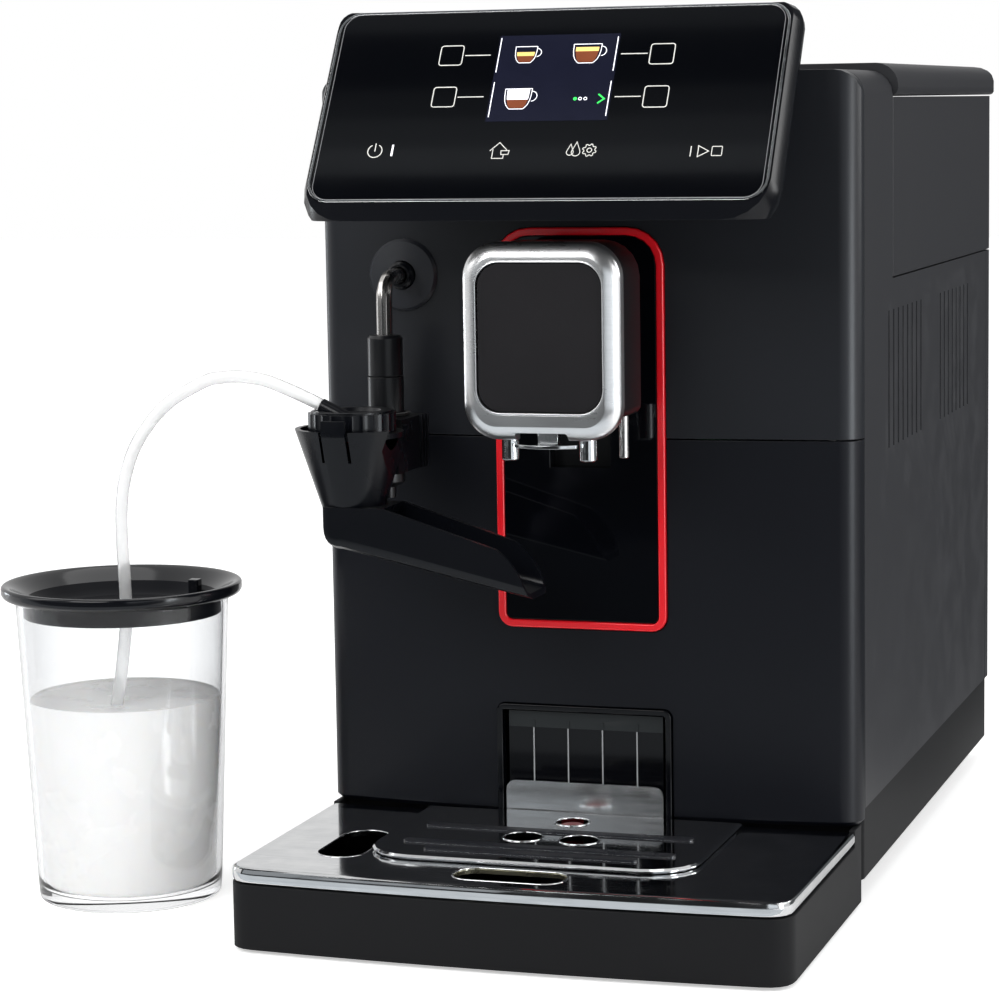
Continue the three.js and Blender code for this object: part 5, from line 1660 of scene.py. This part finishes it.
MARK_FINISHES: dict[Mark, Finish] = {
    Mark.PRINT: PRINT,
    Mark.LIGHTS: LAMP,
    Mark.FIELD: FIELD,
    Mark.CUPS: LAMP,
    Mark.COFFEE: COFFEE,
    Mark.CREMA: CREAM,
    Mark.FROTH: LAMP,
    Mark.GREEN: GO,
    Mark.PANEL_EDGE_HIGHLIGHT: PANEL_EDGE_HIGHLIGHT,
}

# The widths of the panel's lines.
LINE, THIN, HAIR = 0.36, 0.3, 0.28
# A drop's round part and its tip, for a drop of size 1.
DROP_ROUND, DROP_TALL = 1.35, 3.6


@dataclass(frozen=True)
class Stroke:
    """One line of even width on the panel's glass."""

    points: Sequence[Flat]
    width: float = THIN
    closed: bool = False


@dataclass(frozen=True)
class Cup:
    """A plain round cup on the display, without its handle in its box.

    The drink and the froth on it stand up to the two shares of its height.
    """

    box: Box
    fill: Flat
    top_mark: Mark


def drop_outline(x: float, v: float, size: float) -> list[Flat]:
    """The outline of a drop.

    Args:
        x: Its middle.
        v: The height of its round part's middle.
        size: Its size.

    Returns:
        The points.
    """
    return [*arc(x, v, size * DROP_ROUND, -200, 20, 12), (x, v + size * DROP_TALL)]


def gear_outline(x: float, v: float, high: float, low: float, teeth: int) -> list[Flat]:
    """The outline of a gear.

    Args:
        x: Its middle.
        v: Its middle's height.
        high: The radius of its teeth.
        low: The radius between them.
        teeth: How many it has.

    Returns:
        The points, four for a tooth.
    """
    outline = []
    for i in range(4 * teeth):
        radius = high if (i // 2) % 2 else low
        angle = 2 * math.pi * i / (4 * teeth)
        outline.append((x + radius * math.cos(angle), v + radius * math.sin(angle)))
    return outline


@dataclass
class PanelMarks:
    """Keys, lines and plain signs on the panel's glass, drawn as strokes.

    Their places are millimetres across the glass from its middle and up from its foot.
    """

    foot_y: float = -69.0
    foot_z: float = 284.3
    rise_y: float = 0.5392
    rise_z: float = 0.8422
    sunk: float = -0.22
    proud: float = -0.07
    field_lift: float = -0.05
    glass_half: float = 90.1
    glass_high: float = 86.8
    edge_inset: float = 1.0
    edge_round: float = 7.0
    display: Box = (-23.4, 35.4, 25.2, 74.4)
    display_round: float = 0.4
    keys: tuple[Box, ...] = (
        (-46.8, 61.4, -37.5, 70.3),
        (-46.7, 42.4, -37.4, 51.3),
        (38.1, 60.1, 47.6, 69.2),
        (38.2, 40.8, 47.7, 50.2),
    )
    key_round: float = 1.1
    key_lines: tuple[Point, ...] = (
        (-36.5, -26.1, 65.7),
        (-36.5, -25.9, 46.7),
        (26.5, 37.1, 65.0),
        (26.7, 37.0, 45.7),
    )
    display_lines: tuple[Point, ...] = (
        (-22.7, 57.7, 73.4),
        (-22.5, 37.4, 53.2),
        (24.4, 57.4, 72.9),
        (24.4, 37.2, 52.9),
    )
    cups: tuple[Cup, ...] = (
        Cup((-16.2, 61.8, -7.4, 69.2), (0.42, 0.66), Mark.CREMA),
        Cup((7.2, 61.2, 18.4, 69.8), (0.62, 0.84), Mark.CREMA),
        Cup((-17.4, 40.9, -6.6, 50.0), (0.46, 0.97), Mark.FROTH),
    )
    bowl: tuple[Flat, ...] = (
        (0.0, 0.5),
        (0.06, 0.62),
        (0.2, 0.8),
        (0.4, 0.92),
        (0.65, 0.98),
        (1.0, 1.0),
    )
    bowl_foot: float = 0.05
    handle_rise: float = 0.62
    handle_size: float = 0.25
    inside: float = 0.84
    page_dot: Point = (11.1, 45.1, 0.75)
    page_rings: tuple[Point, ...] = ((13.1, 45.1, 0.6), (15.2, 45.1, 0.6))
    arrow: Stroke = Stroke(((20.2, 47.0), (22.7, 44.9), (20.2, 42.9)), 0.6)
    switch_light: Stroke = Stroke(((-59.1, 20.5), (-59.1, 25.5)), 0.75)
    signs: tuple[Stroke, ...] = (
        Stroke(arc(-66.2, 22.8, 2.9, 118, 422, 28), LINE),
        Stroke(((-66.2, 22.6), (-66.2, 26.2)), LINE),
        Stroke(((-18.2, 23.0), (-18.2, 18.9), (-13.7, 18.9), (-13.7, 20.4))),
        Stroke(((-19.4, 22.3), (-15.9, 25.9), (-12.6, 22.6))),
        Stroke(((-14.9, 22.3), (-11.6, 22.3), (-11.9, 20.6), (-14.7, 20.6)), closed=True),
        Stroke(drop_outline(12.6, 21.3, 1.0), closed=True),
        Stroke(drop_outline(14.9, 21.3, 1.25), closed=True),
        Stroke(gear_outline(20.2, 22.1, 2.75, 2.15, 8), closed=True),
        Stroke(circle(20.2, 22.1, 0.95, 14), closed=True),
        Stroke(((59.8, 18.9), (59.8, 23.3)), LINE),
        Stroke(((62.6, 18.7), (66.7, 21.1), (62.6, 23.5)), closed=True),
        Stroke(rounded(67.9, 19.1, 71.8, 23.1, 0.3, 2), closed=True),
    )
    pieces: dict[Mark, Piece] = field(default_factory=dict)

    def spot(self, x: float, v: float, w: float) -> Point:
        """A point over the glass, from its foot."""
        y = self.foot_y + v * self.rise_y - w * self.rise_z
        return (x, y, self.foot_z + v * self.rise_z + w * self.rise_y)

    def patch(self, mark: Mark, outline: Sequence[Flat], lift: float = 0.0) -> None:
        """Adds a filled form.

        Args:
            mark: The piece to add to.
            outline: Its outline.
            lift: How much higher it lies than the rest.
        """
        heights = (self.sunk, self.proud + lift)
        self.pieces[mark].loops([[self.spot(x, v, w) for x, v in outline] for w in heights])

    def draw(self, mark: Mark, stroke: Stroke) -> None:
        """Adds a line of even width.

        Args:
            mark: The piece to add to.
            stroke: The line.
        """
        points, closed = stroke.points, stroke.closed
        count = len(points)
        sides: list[tuple[Flat, Flat]] = []
        for i, (x, v) in enumerate(points):
            before = points[(i - 1) % count] if closed or i else points[i]
            after = points[(i + 1) % count] if closed or i < count - 1 else points[i]
            first = Vector((x - before[0], v - before[1]))
            second = Vector((after[0] - x, after[1] - v))
            first = first.normalized() if first.length else second.normalized()
            second = second.normalized() if second.length else first
            middle = (first + second).normalized()
            reach = stroke.width / 2 / max(middle.dot(first), 0.5)
            across = Vector((-middle.y, middle.x)) * reach
            sides.append(((x + across.x, v + across.y), (x - across.x, v - across.y)))
        if closed:
            rings = [
                [self.spot(*side[k], w) for side in sides]
                for k, w in ((0, self.sunk), (0, self.proud), (1, self.proud), (1, self.sunk))
            ]
            self.pieces[mark].loops(rings, closed=True)
        else:
            there = [side[0] for side in sides]
            self.patch(mark, there + [side[1] for side in reversed(sides)])

    def draw_cup(self, cup: Cup) -> None:
        """Adds a plain round cup with its drink.

        Args:
            cup: The cup.
        """
        left, low, right, high = cup.box
        middle, half, tall = (left + right) / 2, (right - left) / 2, high - low
        wall = [(middle - half * wide, low + tall * rise) for rise, wide in reversed(self.bowl)]
        wall += [(middle + half * wide, low + tall * rise) for rise, wide in self.bowl]
        handle = arc(right, low + tall * self.handle_rise, tall * self.handle_size, -85, 85, 10)
        self.draw(Mark.CUPS, Stroke(wall))
        self.draw(Mark.CUPS, Stroke([(left, high), (right, high)], HAIR))
        self.draw(Mark.CUPS, Stroke(handle))
        bounds = (self.bowl_foot, *cup.fill)
        for mark, foot, top in zip((Mark.COFFEE, cup.top_mark), bounds, bounds[1:]):
            shares = [foot, *(rise for rise, _ in self.bowl if foot < rise < top), top]
            widths = [half * self.inside * self.width_at(share) for share in shares]
            sides = [(wide, low + tall * share) for wide, share in zip(widths, shares)]
            outline = [(middle - wide, v) for wide, v in sides]
            outline += [(middle + wide, v) for wide, v in reversed(sides)]
            self.patch(mark, outline)

    def width_at(self, share: float) -> float:
        """The bowl's width at a share of its height.

        Args:
            share: The share of the height.

        Returns:
            The width there, as a share of the widest.
        """
        for (low, narrow), (high, wide) in zip(self.bowl, self.bowl[1:]):
            if share <= high:
                return narrow + (wide - narrow) * (share - low) / (high - low)
        return self.bowl[-1][1]

    def draw_edge_highlight(self) -> None:
        """Draws the fine light line along the glass' edge: a painted highlight, given a faint glow.
        """
        half, high = self.glass_half - self.edge_inset, self.glass_high - self.edge_inset
        outline = rounded(-half, self.edge_inset, half, high, self.edge_round, 10)
        self.draw(Mark.PANEL_EDGE_HIGHLIGHT, Stroke(outline, HAIR, closed=True))

    def draw_keys(self) -> None:
        """Draws the four keys and their lines to the display."""
        for key in self.keys:
            outline = rounded(*key, self.key_round, 4)
            self.draw(Mark.PRINT, Stroke(outline, LINE, closed=True))
        for x0, x1, v in self.key_lines:
            self.draw(Mark.PRINT, Stroke([(x0, v), (x1, v)], LINE))

    def draw_display(self) -> None:
        """Draws the display with its side lines, cups and page signs."""
        self.patch(Mark.FIELD, rounded(*self.display, self.display_round, 2), self.field_lift)
        for x, v0, v1 in self.display_lines:
            self.draw(Mark.LIGHTS, Stroke([(x, v0), (x, v1)], LINE))
        for cup in self.cups:
            self.draw_cup(cup)
        self.patch(Mark.GREEN, circle(*self.page_dot, 16))
        for ring in self.page_rings:
            self.draw(Mark.CUPS, Stroke(circle(*ring, 16), closed=True))
        self.draw(Mark.GREEN, self.arrow)

    def build(self) -> None:
        """Draws every mark."""
        self.pieces = {mark: Piece(mark.value) for mark in Mark}
        self.draw_edge_highlight()
        self.draw_keys()
        self.draw_display()
        for sign in self.signs:
            self.draw(Mark.PRINT, sign)
        self.draw(Mark.LIGHTS, self.switch_light)
        for mark, piece in self.pieces.items():
            piece.done(MARK_FINISHES[mark], Body.MACHINE, [], None)


@dataclass
class ControlPanel:
    """The tilted panel with its glass and display."""

    marks: PanelMarks = field(default_factory=PanelMarks)

    def build(self) -> None:
        """Builds the panel."""
        dressed("control_housing", PANEL_SHELL, Body.MACHINE, Edges(0.5, 3))
        dressed("control_bezel", CHROME, Body.MACHINE, Edges(0.15, 2))
        dressed("control_glass", GLOSS, Body.MACHINE, Edges(0.12, 2))
        dressed("display_module", SMOKE, Body.MACHINE, FINE)
        self.marks.build()


@dataclass
class SteamWand:
    """The rosette, the bent pipe and its sleeves."""

    def build(self) -> None:
        """Builds the wand."""
        dressed("wand_escutcheon", DISC, Body.MACHINE, FINE)
        dressed("steam_joint", SATIN, Body.WAND, FINE)
        dressed("steam_pipe", PIPE_STEEL, Body.WAND, FINE)
        dressed("wand_grip_sleeve", TRIM, Body.WAND, FINE)
        dressed("wand_tip_sleeve", TRIM, Body.WAND, FINE)


@dataclass
class MilkFrother:
    """The frother with its chute and knurled cap."""

    def build(self) -> None:
        """Builds the frother."""
        dressed("frother_body", SATIN, Body.WAND, Edges(0.35, 3))
        dressed("frother_cap", SATIN, Body.WAND, Edges(0.15, 2))
        dressed("frother_socket", RUBBER, Body.WAND, FINE)


@dataclass
class CoffeeSpout:
    """The sliding spout with its polished frame."""

    half: float = 31.6
    low: float = 192.2
    high: float = 268.4
    corner: float = 14.0
    face: float = -60.5
    rear: float = -51.8
    insert_half: float = 25.2
    insert_low: float = 202.9
    insert_high: float = 260.7
    insert_corner: float = 9.3
    notch_half: float = 10.6
    notch_top: float = 195.2
    notch_round: float = 1.2
    notch_spare: float = 2.0
    least_corner: float = 1.0
    bevel: tuple[Flat, ...] = (
        (0.3, -51.8),
        (0.0, -52.1),
        (0.0, -55.6),
        (0.08, -56.3),
        (0.3, -56.95),
        (1.0, -57.95),
        (2.0, -58.75),
        (3.2, -59.45),
        (4.3, -59.95),
        (5.2, -60.25),
        (5.7, -60.4),
    )
    bead: tuple[Flat, ...] = (
        (0.95, -60.42),
        (0.8, -60.1),
        (0.62, -60.1),
        (0.5, -60.42),
        (0.25, -60.5),
        (0.05, -60.4),
        (0.0, -60.1),
        (0.0, -51.8),
    )

    def outer(self, inset: float, depth: float) -> list[Point]:
        """The frame's outline, drawn in by an inset, at a depth."""
        corner = max(self.corner - inset, self.least_corner)
        sides = (-self.half + inset, self.low + inset, self.half - inset, self.high - inset)
        return stand(rounded(*sides, corner, 16), Axis.Y, depth)

    def inner(self, spread: float, depth: float) -> list[Point]:
        """The insert's seat, widened by a spread, at a depth."""
        half = self.insert_half + spread
        sides = (-half, self.insert_low - spread, half, self.insert_high + spread)
        return stand(rounded(*sides, self.insert_corner + spread, 16), Axis.Y, depth)

    def frame(self) -> None:
        """Builds the frame, with its full bevel, the fine groove and the bead round the insert."""
        piece = Piece("polished_frame")
        rings = [self.outer(inset, depth) for inset, depth in self.bevel]
        rings += [self.inner(spread, depth) for spread, depth in self.bead]
        piece.loops(rings, closed=True)
        notch = Piece("notch")
        sides = (-self.notch_half, self.low - self.notch_spare, self.notch_half, self.notch_top)
        outline = rounded(*sides, self.notch_round, 4)
        depths = (self.face - self.notch_spare, self.rear + self.notch_spare)
        notch.loops([stand(outline, Axis.Y, depth) for depth in depths])
        piece.carve(notch)
        piece.done(FRAME_CHROME, Body.SPOUT, ["spout_frame"], Edges(0.2, 2, 62))

    def build(self) -> None:
        """Builds the spout."""
        dressed("spout_housing", TRIM, Body.SPOUT, SOFT)
        self.frame()
        dressed("spout_insert", INSERT, Body.SPOUT, Edges(0.5, 3))
        dressed("nozzle_left", CHROME, Body.SPOUT, FINE)
        dressed("nozzle_right", CHROME, Body.SPOUT, FINE)
        dressed("hot_water_tube", PIPE_STEEL, Body.SPOUT, Edges(0.1, 2))
        dressed("spout_lip", CHROME, Body.SPOUT, FINE)


@dataclass
class DripTray:
    """The tray, its polished plate, the cup plate, the float and the grounds bin."""

    plate_top: float = 35.1
    tab_front: float = -7.3
    drips: tuple[Flat, ...] = ((-11.5, -53.0), (11.5, -53.0))
    drip_radius: float = 8.0
    float_place: Flat = (0.0, -24.0)
    float_hole: float = 7.0
    rim: float = 0.45
    skirt_top: float = 20.0
    bin_front: float = -4.0
    band_low: float = 69.0
    rib_pitch: float = 14.5
    rib_low: float = 34.5
    rib_face: float = -4.5
    hair_half: float = 0.28
    lid_top: float = 32.9
    finger_hole: Box = (-85.0, -94.0, -66.0, -48.0)
    finger_round: float = 9.5
    notch: Box = (-22.0, -115.0, 22.0, -96.0)
    notch_round: float = 8.0
    opening_rim: float = 0.4
    opening_drop: float = 0.15
    cut_edge: tuple[Flat, ...] = ((0.05, 30.8), (0.5, 30.8), (0.5, 32.3), (0.05, 32.3))
    ribs: int = 4
    above_plate: float = 0.12
    bars_low: Flat = (-60.0, -90.0)
    bars_high: Point = (60.0, -35.0, 40.0)
    tab_left: float = -40.0
    tab_high: Point = (40.0, 0.0, 60.0)
    skirt_low: Point = (-30.0, -60.0, 0.0)
    skirt_high: Flat = (30.0, 20.0)
    band_half: float = 40.0
    band_high: float = 90.0
    band_reach: float = 1.0
    rib_proud: float = 0.06
    rib_deep: float = 0.1
    rib_round: float = 0.05

    def hole_rims(self) -> None:
        """Adds the rolled rims of the round holes in the cup plate."""
        piece = Piece("hole_rims")
        spots = [(x, y, self.drip_radius) for x, y in self.drips]
        spots.append((*self.float_place, self.float_hole))
        for x, y, radius in spots:
            roll = [(radius + r, self.plate_top + z) for r, z in circle(0, 0, self.rim, 12)]
            piece.lathe(roll, 48, x, y, closed=True)
        piece.done(CHROME, Body.GRID, [], None)

    def opening_rims(self) -> None:
        """Adds the rolled rims of the finger hole and the front notch in the tray's plate."""
        rims = Piece("plate_opening_rims")
        for box, corner in ((self.finger_hole, self.finger_round), (self.notch, self.notch_round)):
            x0, y0, x1, y1 = box
            level = self.lid_top - self.opening_drop
            rings = []
            for spread, rise in circle(0, 0, self.opening_rim, 10):
                sides = (x0 - spread, y0 - spread, x1 + spread, y1 + spread)
                rings.append(stand(rounded(*sides, corner + spread, 10), Axis.Z, level + rise))
            rims.loops(rings, closed=True)
        rims.done(CHROME, Body.TRAY, [], None)
        x0, y0, x1, y1 = self.notch
        wall = Piece("notch_cut_edge")
        rings = []
        for inset, z in self.cut_edge:
            sides = (x0 + inset, y0 + inset, x1 - inset, y1 - inset)
            rings.append(stand(rounded(*sides, self.notch_round - inset, 10), Axis.Z, z))
        wall.loops(rings, closed=True)
        wall.done(WARM_STEEL, Body.TRAY, [], None)

    def rib_highlights(self) -> None:
        """Adds thin light strips along the bin's ribs: a painted highlight on their edges."""
        piece = Piece("bin_rib_highlights")
        near, deep = self.rib_face - self.rib_proud, self.rib_face + self.rib_deep
        for i in range(self.ribs):
            x = (i - (self.ribs - 1) / 2) * self.rib_pitch
            outline = rounded(
                x - self.hair_half, near, x + self.hair_half, deep, self.rib_round, 2
            )
            piece.loops([stand(outline, Axis.Z, z) for z in (self.rib_low, self.band_low)])
        piece.done(RIB_EDGE_HIGHLIGHT, Body.TRAY, [], None)

    def build(self) -> None:
        """Builds the tray."""
        dressed("drip_tray", TRAY_SHELL, Body.TRAY, Edges(0.5, 3))
        dressed("tray_plate", TRAY_STEEL, Body.TRAY, Edges(0.35, 3))
        above = self.plate_top + self.above_plate
        # The bars take painted reflection and highlight instead of the plate's steel.
        bars = Accent(BAR_PAINTED_REFLECTION, (*self.bars_low, above), self.bars_high)
        tab = Accent(TAB_STEEL, (self.tab_left, self.tab_front, above), self.tab_high)
        dressed("cup_plate", TRAY_STEEL, Body.GRID, Edges(0.25, 2), (bars, tab))
        self.hole_rims()
        skirt = Accent(TRIM, self.skirt_low, (*self.skirt_high, self.skirt_top))
        level = (Axis.Z, self.skirt_top)
        # The float wears the red lacquer in painted shade.
        dressed("tray_float", SHADED_FLOAT_RED, Body.FLOAT, FINE, (skirt,), (level,))
        half, front, reach = self.band_half, self.bin_front, self.band_reach
        low, high = (-half, front - reach, self.band_low), (half, front + reach, self.band_high)
        band = Accent(BIN_BAND, low, high)
        level = (Axis.Z, self.band_low)
        dressed("grounds_container", BIN_BLACK, Body.TRAY, Edges(0.12, 2), (band,), (level,))
        self.rib_highlights()
        self.opening_rims()


@dataclass
class WaterTank:
    """The tank at the rear right, with its lid and valve."""

    def build(self) -> None:
        """Builds the tank."""
        dressed("water_tank", CASING, Body.TANK, FINE)
        dressed("tank_valve", RUBBER, Body.TANK, FINE)
        dressed("tank_lid", CASING, Body.TANK_COVER, Edges(0.4, 3))


@dataclass
class BeanHopper:
    """The hopper, its lid, the grinder's adjuster and the chute for ground coffee."""

    def build(self) -> None:
        """Builds the hopper."""
        dressed("bean_hopper", SMOKE, Body.MACHINE, FINE)
        dressed("hopper_lid", SMOKE, Body.BEAN_COVER, FINE)
        dressed("grinder_adjuster", RED, Body.ADJUSTER, SOFT)
        dressed("preground_chute", TRIM, Body.MACHINE, FINE)
        dressed("preground_lid", CASING, Body.GROUND_COVER, FINE)


@dataclass
class Works:
    """What stands inside the casing."""

    def build(self) -> None:
        """Builds the works."""
        dressed("inner_frame", TRIM, Body.MACHINE, PLAIN)
        dressed("grinder", TRIM, Body.MACHINE, PLAIN)
        dressed("brew_group", IVORY, Body.MACHINE, PLAIN)
        dressed("boiler", WORKS_STEEL, Body.MACHINE, PLAIN)
        dressed("pump", WORKS_STEEL, Body.MACHINE, PLAIN)
        dressed("circuit_board", BOARD, Body.MACHINE, Edges(0.2, 1))


@dataclass
class MilkGlass:
    """The thick-footed glass, its dished lid and the milk."""

    x: float = -185.0
    y: float = -44.0
    foot_radius: float = 37.4
    foot_lift: float = 0.35
    foot_ring: Flat = (6.0, 4.5)
    foot_round: float = 1.6
    top_radius: float = 43.4
    top: float = 124.1
    wall: float = 2.2
    wall_steps: tuple[float, ...] = (30, 60, 90, 118)
    wall_from: float = 8
    bore_from: float = 10
    floor: float = 4.5
    floor_round: float = 4.0
    sides: int = 128
    milk_gap: float = 0.3
    milk_level: float = 83.0
    milk_steps: tuple[float, ...] = (20, 40, 60)
    meniscus: tuple[Flat, ...] = ((0.0, 0.1), (0.8, 0.5), (2.4, 0.9))
    milk_sink: float = 1.0
    lid_radius: float = 49.0
    lid_low: float = 124.4
    lid_top: float = 129.7
    plug_chamfer: float = 0.6
    shoulder: float = 0.5
    lip_round: float = 2.6
    crown_round: float = 1.3
    crown_slope: tuple[Flat, ...] = ((2.6, 0.15), (4.4, 1.1))
    dish_slope: tuple[Flat, ...] = ((42.2, 127.0), (38.6, 124.3), (35.2, 121.8), (33.0, 120.4))
    dish_round: Flat = (2.0, 0.3)
    dish_clear: float = 0.2
    dish_reach: float = 2.2
    dish_below: float = 1.0
    plug_radius: float = 40.3
    plug_low: float = 117.0
    dish_radius: float = 31.0
    dish: float = 119.4
    hole: Flat = (-175.55, -60.9)
    hole_radius: float = 3.4
    hole_span: Flat = (110.0, 135.0)
    peg: Flat = (-164.2, -17.5)
    peg_half: float = 2.3
    peg_round: float = 0.8
    peg_sunk: float = 0.8
    peg_top: float = 127.4

    def outside(self, z: float) -> float:
        """The glass' outer radius at a height."""
        return self.foot_radius + (self.top_radius - self.foot_radius) * z / self.top

    def glass(self) -> None:
        """Builds the glass, with its rounded foot and rim."""
        foot = self.outside(0)
        inner, outer = (foot - inset for inset in self.foot_ring)
        profile = [(0, self.foot_lift), (inner, self.foot_lift), (outer, 0.0)]
        small = self.foot_round
        profile += [(foot - small + r, small + z) for r, z in arc(0, 0, small, 270, 360, 6)]
        profile += [(self.outside(z), z) for z in (self.wall_from, *self.wall_steps)]
        rim = self.top - self.wall / 2
        middle = self.outside(rim) - self.wall / 2
        profile += [(middle + r, rim + z) for r, z in arc(0, 0, self.wall / 2, 0, 180, 8)]
        bore = (*reversed(self.wall_steps), self.bore_from)
        profile += [(self.outside(z) - self.wall, z) for z in bore]
        bend = self.floor_round
        turn = self.outside(self.floor) - self.wall - bend
        profile += [(turn + r, self.floor + bend + z) for r, z in arc(0, 0, bend, 0, -90, 6)]
        profile.append((0, self.floor))
        piece = Piece("tumbler")
        piece.lathe(profile, self.sides, self.x, self.y)
        glass = piece.done(GLASS, Body.MACHINE, ["milk_glass"], None)
        glass.visible_shadow = False
        glass.visible_diffuse = False

    def milk(self) -> None:
        """Builds the milk, which wets the wall a little higher than its level."""
        level, bend = self.milk_level, self.floor_round
        slack = self.wall + self.milk_gap
        low = self.floor + self.milk_gap
        turn = self.outside(low) - slack - bend
        profile = [(0, low)]
        profile += [(turn + r, low + bend + z) for r, z in arc(0, 0, bend, -90, 0, 6)]
        (_, wet), *curve = self.meniscus
        wall = (*self.milk_steps, level - wet)
        profile += [(self.outside(z) - slack, z) for z in wall]
        edge = self.outside(level) - slack
        profile += [(edge - inset, level - fall) for inset, fall in curve]
        profile.append((0, level - self.milk_sink))
        piece = Piece("milk_fill")
        piece.lathe(profile, self.sides, self.x, self.y)
        piece.done(MILK, Body.MACHINE, ["milk"], None)

    def lid(self) -> None:
        """Builds the dished lid, with its rolled rim, the hose's hole and the peg."""
        lip = self.lid_radius - self.lip_round
        plug, cut = self.plug_radius, self.plug_chamfer
        profile = [(0, self.plug_low), (plug - cut, self.plug_low)]
        profile += [(plug, self.plug_low + cut), (plug, self.lid_low - self.shoulder)]
        profile += [(plug + self.shoulder, self.lid_low), (lip, self.lid_low)]
        start = self.lid_low + self.lip_round
        profile += [(lip + r, start + z) for r, z in arc(0, 0, self.lip_round, 288, 360, 5)]
        crown, small = self.lid_top - self.crown_round, self.crown_round
        profile += [(self.lid_radius - small + r, crown + z) for r, z in arc(0, 0, small, 0, 90, 5)]
        profile += [(self.lid_radius - r, self.lid_top - z) for r, z in self.crown_slope]
        inset, rise = self.dish_round
        profile += [*self.dish_slope, (self.dish_radius, self.dish + rise)]
        profile += [(self.dish_radius - inset, self.dish), (0, self.dish)]
        piece = Piece("dished_lid")
        piece.lathe(profile, self.sides, self.x, self.y)
        hole = Piece("hose_hole")
        hole.lathe([(self.hole_radius, z) for z in self.hole_span], 32, *self.hole)
        piece.carve(hole)
        reach = plug + self.dish_reach
        dish = Accent(
            LID_DISH,
            (self.x - reach, self.y - reach, self.plug_low - self.dish_below),
            (self.x + reach, self.y + reach, self.lid_low - self.dish_clear),
        )
        piece.done(LID_GLOSS, Body.GLASS_COVER, ["glass_lid"], Edges(0.25, 2, 70), (dish,))
        (x, y), half = self.peg, self.peg_half
        peg = Piece("lid_peg")
        sides = rounded(x - half, y - half, x + half, y + half, self.peg_round, 4)
        levels = (self.dish - self.peg_sunk, self.peg_top)
        peg.loops([stand(sides, Axis.Z, z) for z in levels])
        peg.done(LID_GLOSS, Body.GLASS_COVER, [], Edges(0.4, 3))

    def build(self) -> None:
        """Builds the glass with all in it."""
        self.glass()
        self.milk()
        self.lid()


def main() -> None:
    """Builds the studio and every sub-assembly."""
    logging.basicConfig(level=logging.INFO, format="%(name)s: %(message)s")
    bpy.context.scene.view_settings.view_transform = "Standard"
    for assembly in (
        Studio(),
        MilkHose(),
        BodyShell(),
        SpoutTrack(),
        ControlPanel(),
        SteamWand(),
        MilkFrother(),
        CoffeeSpout(),
        DripTray(),
        WaterTank(),
        BeanHopper(),
        Works(),
        MilkGlass(),
    ):
        assembly.build()


if __name__ == "__main__":
    main()
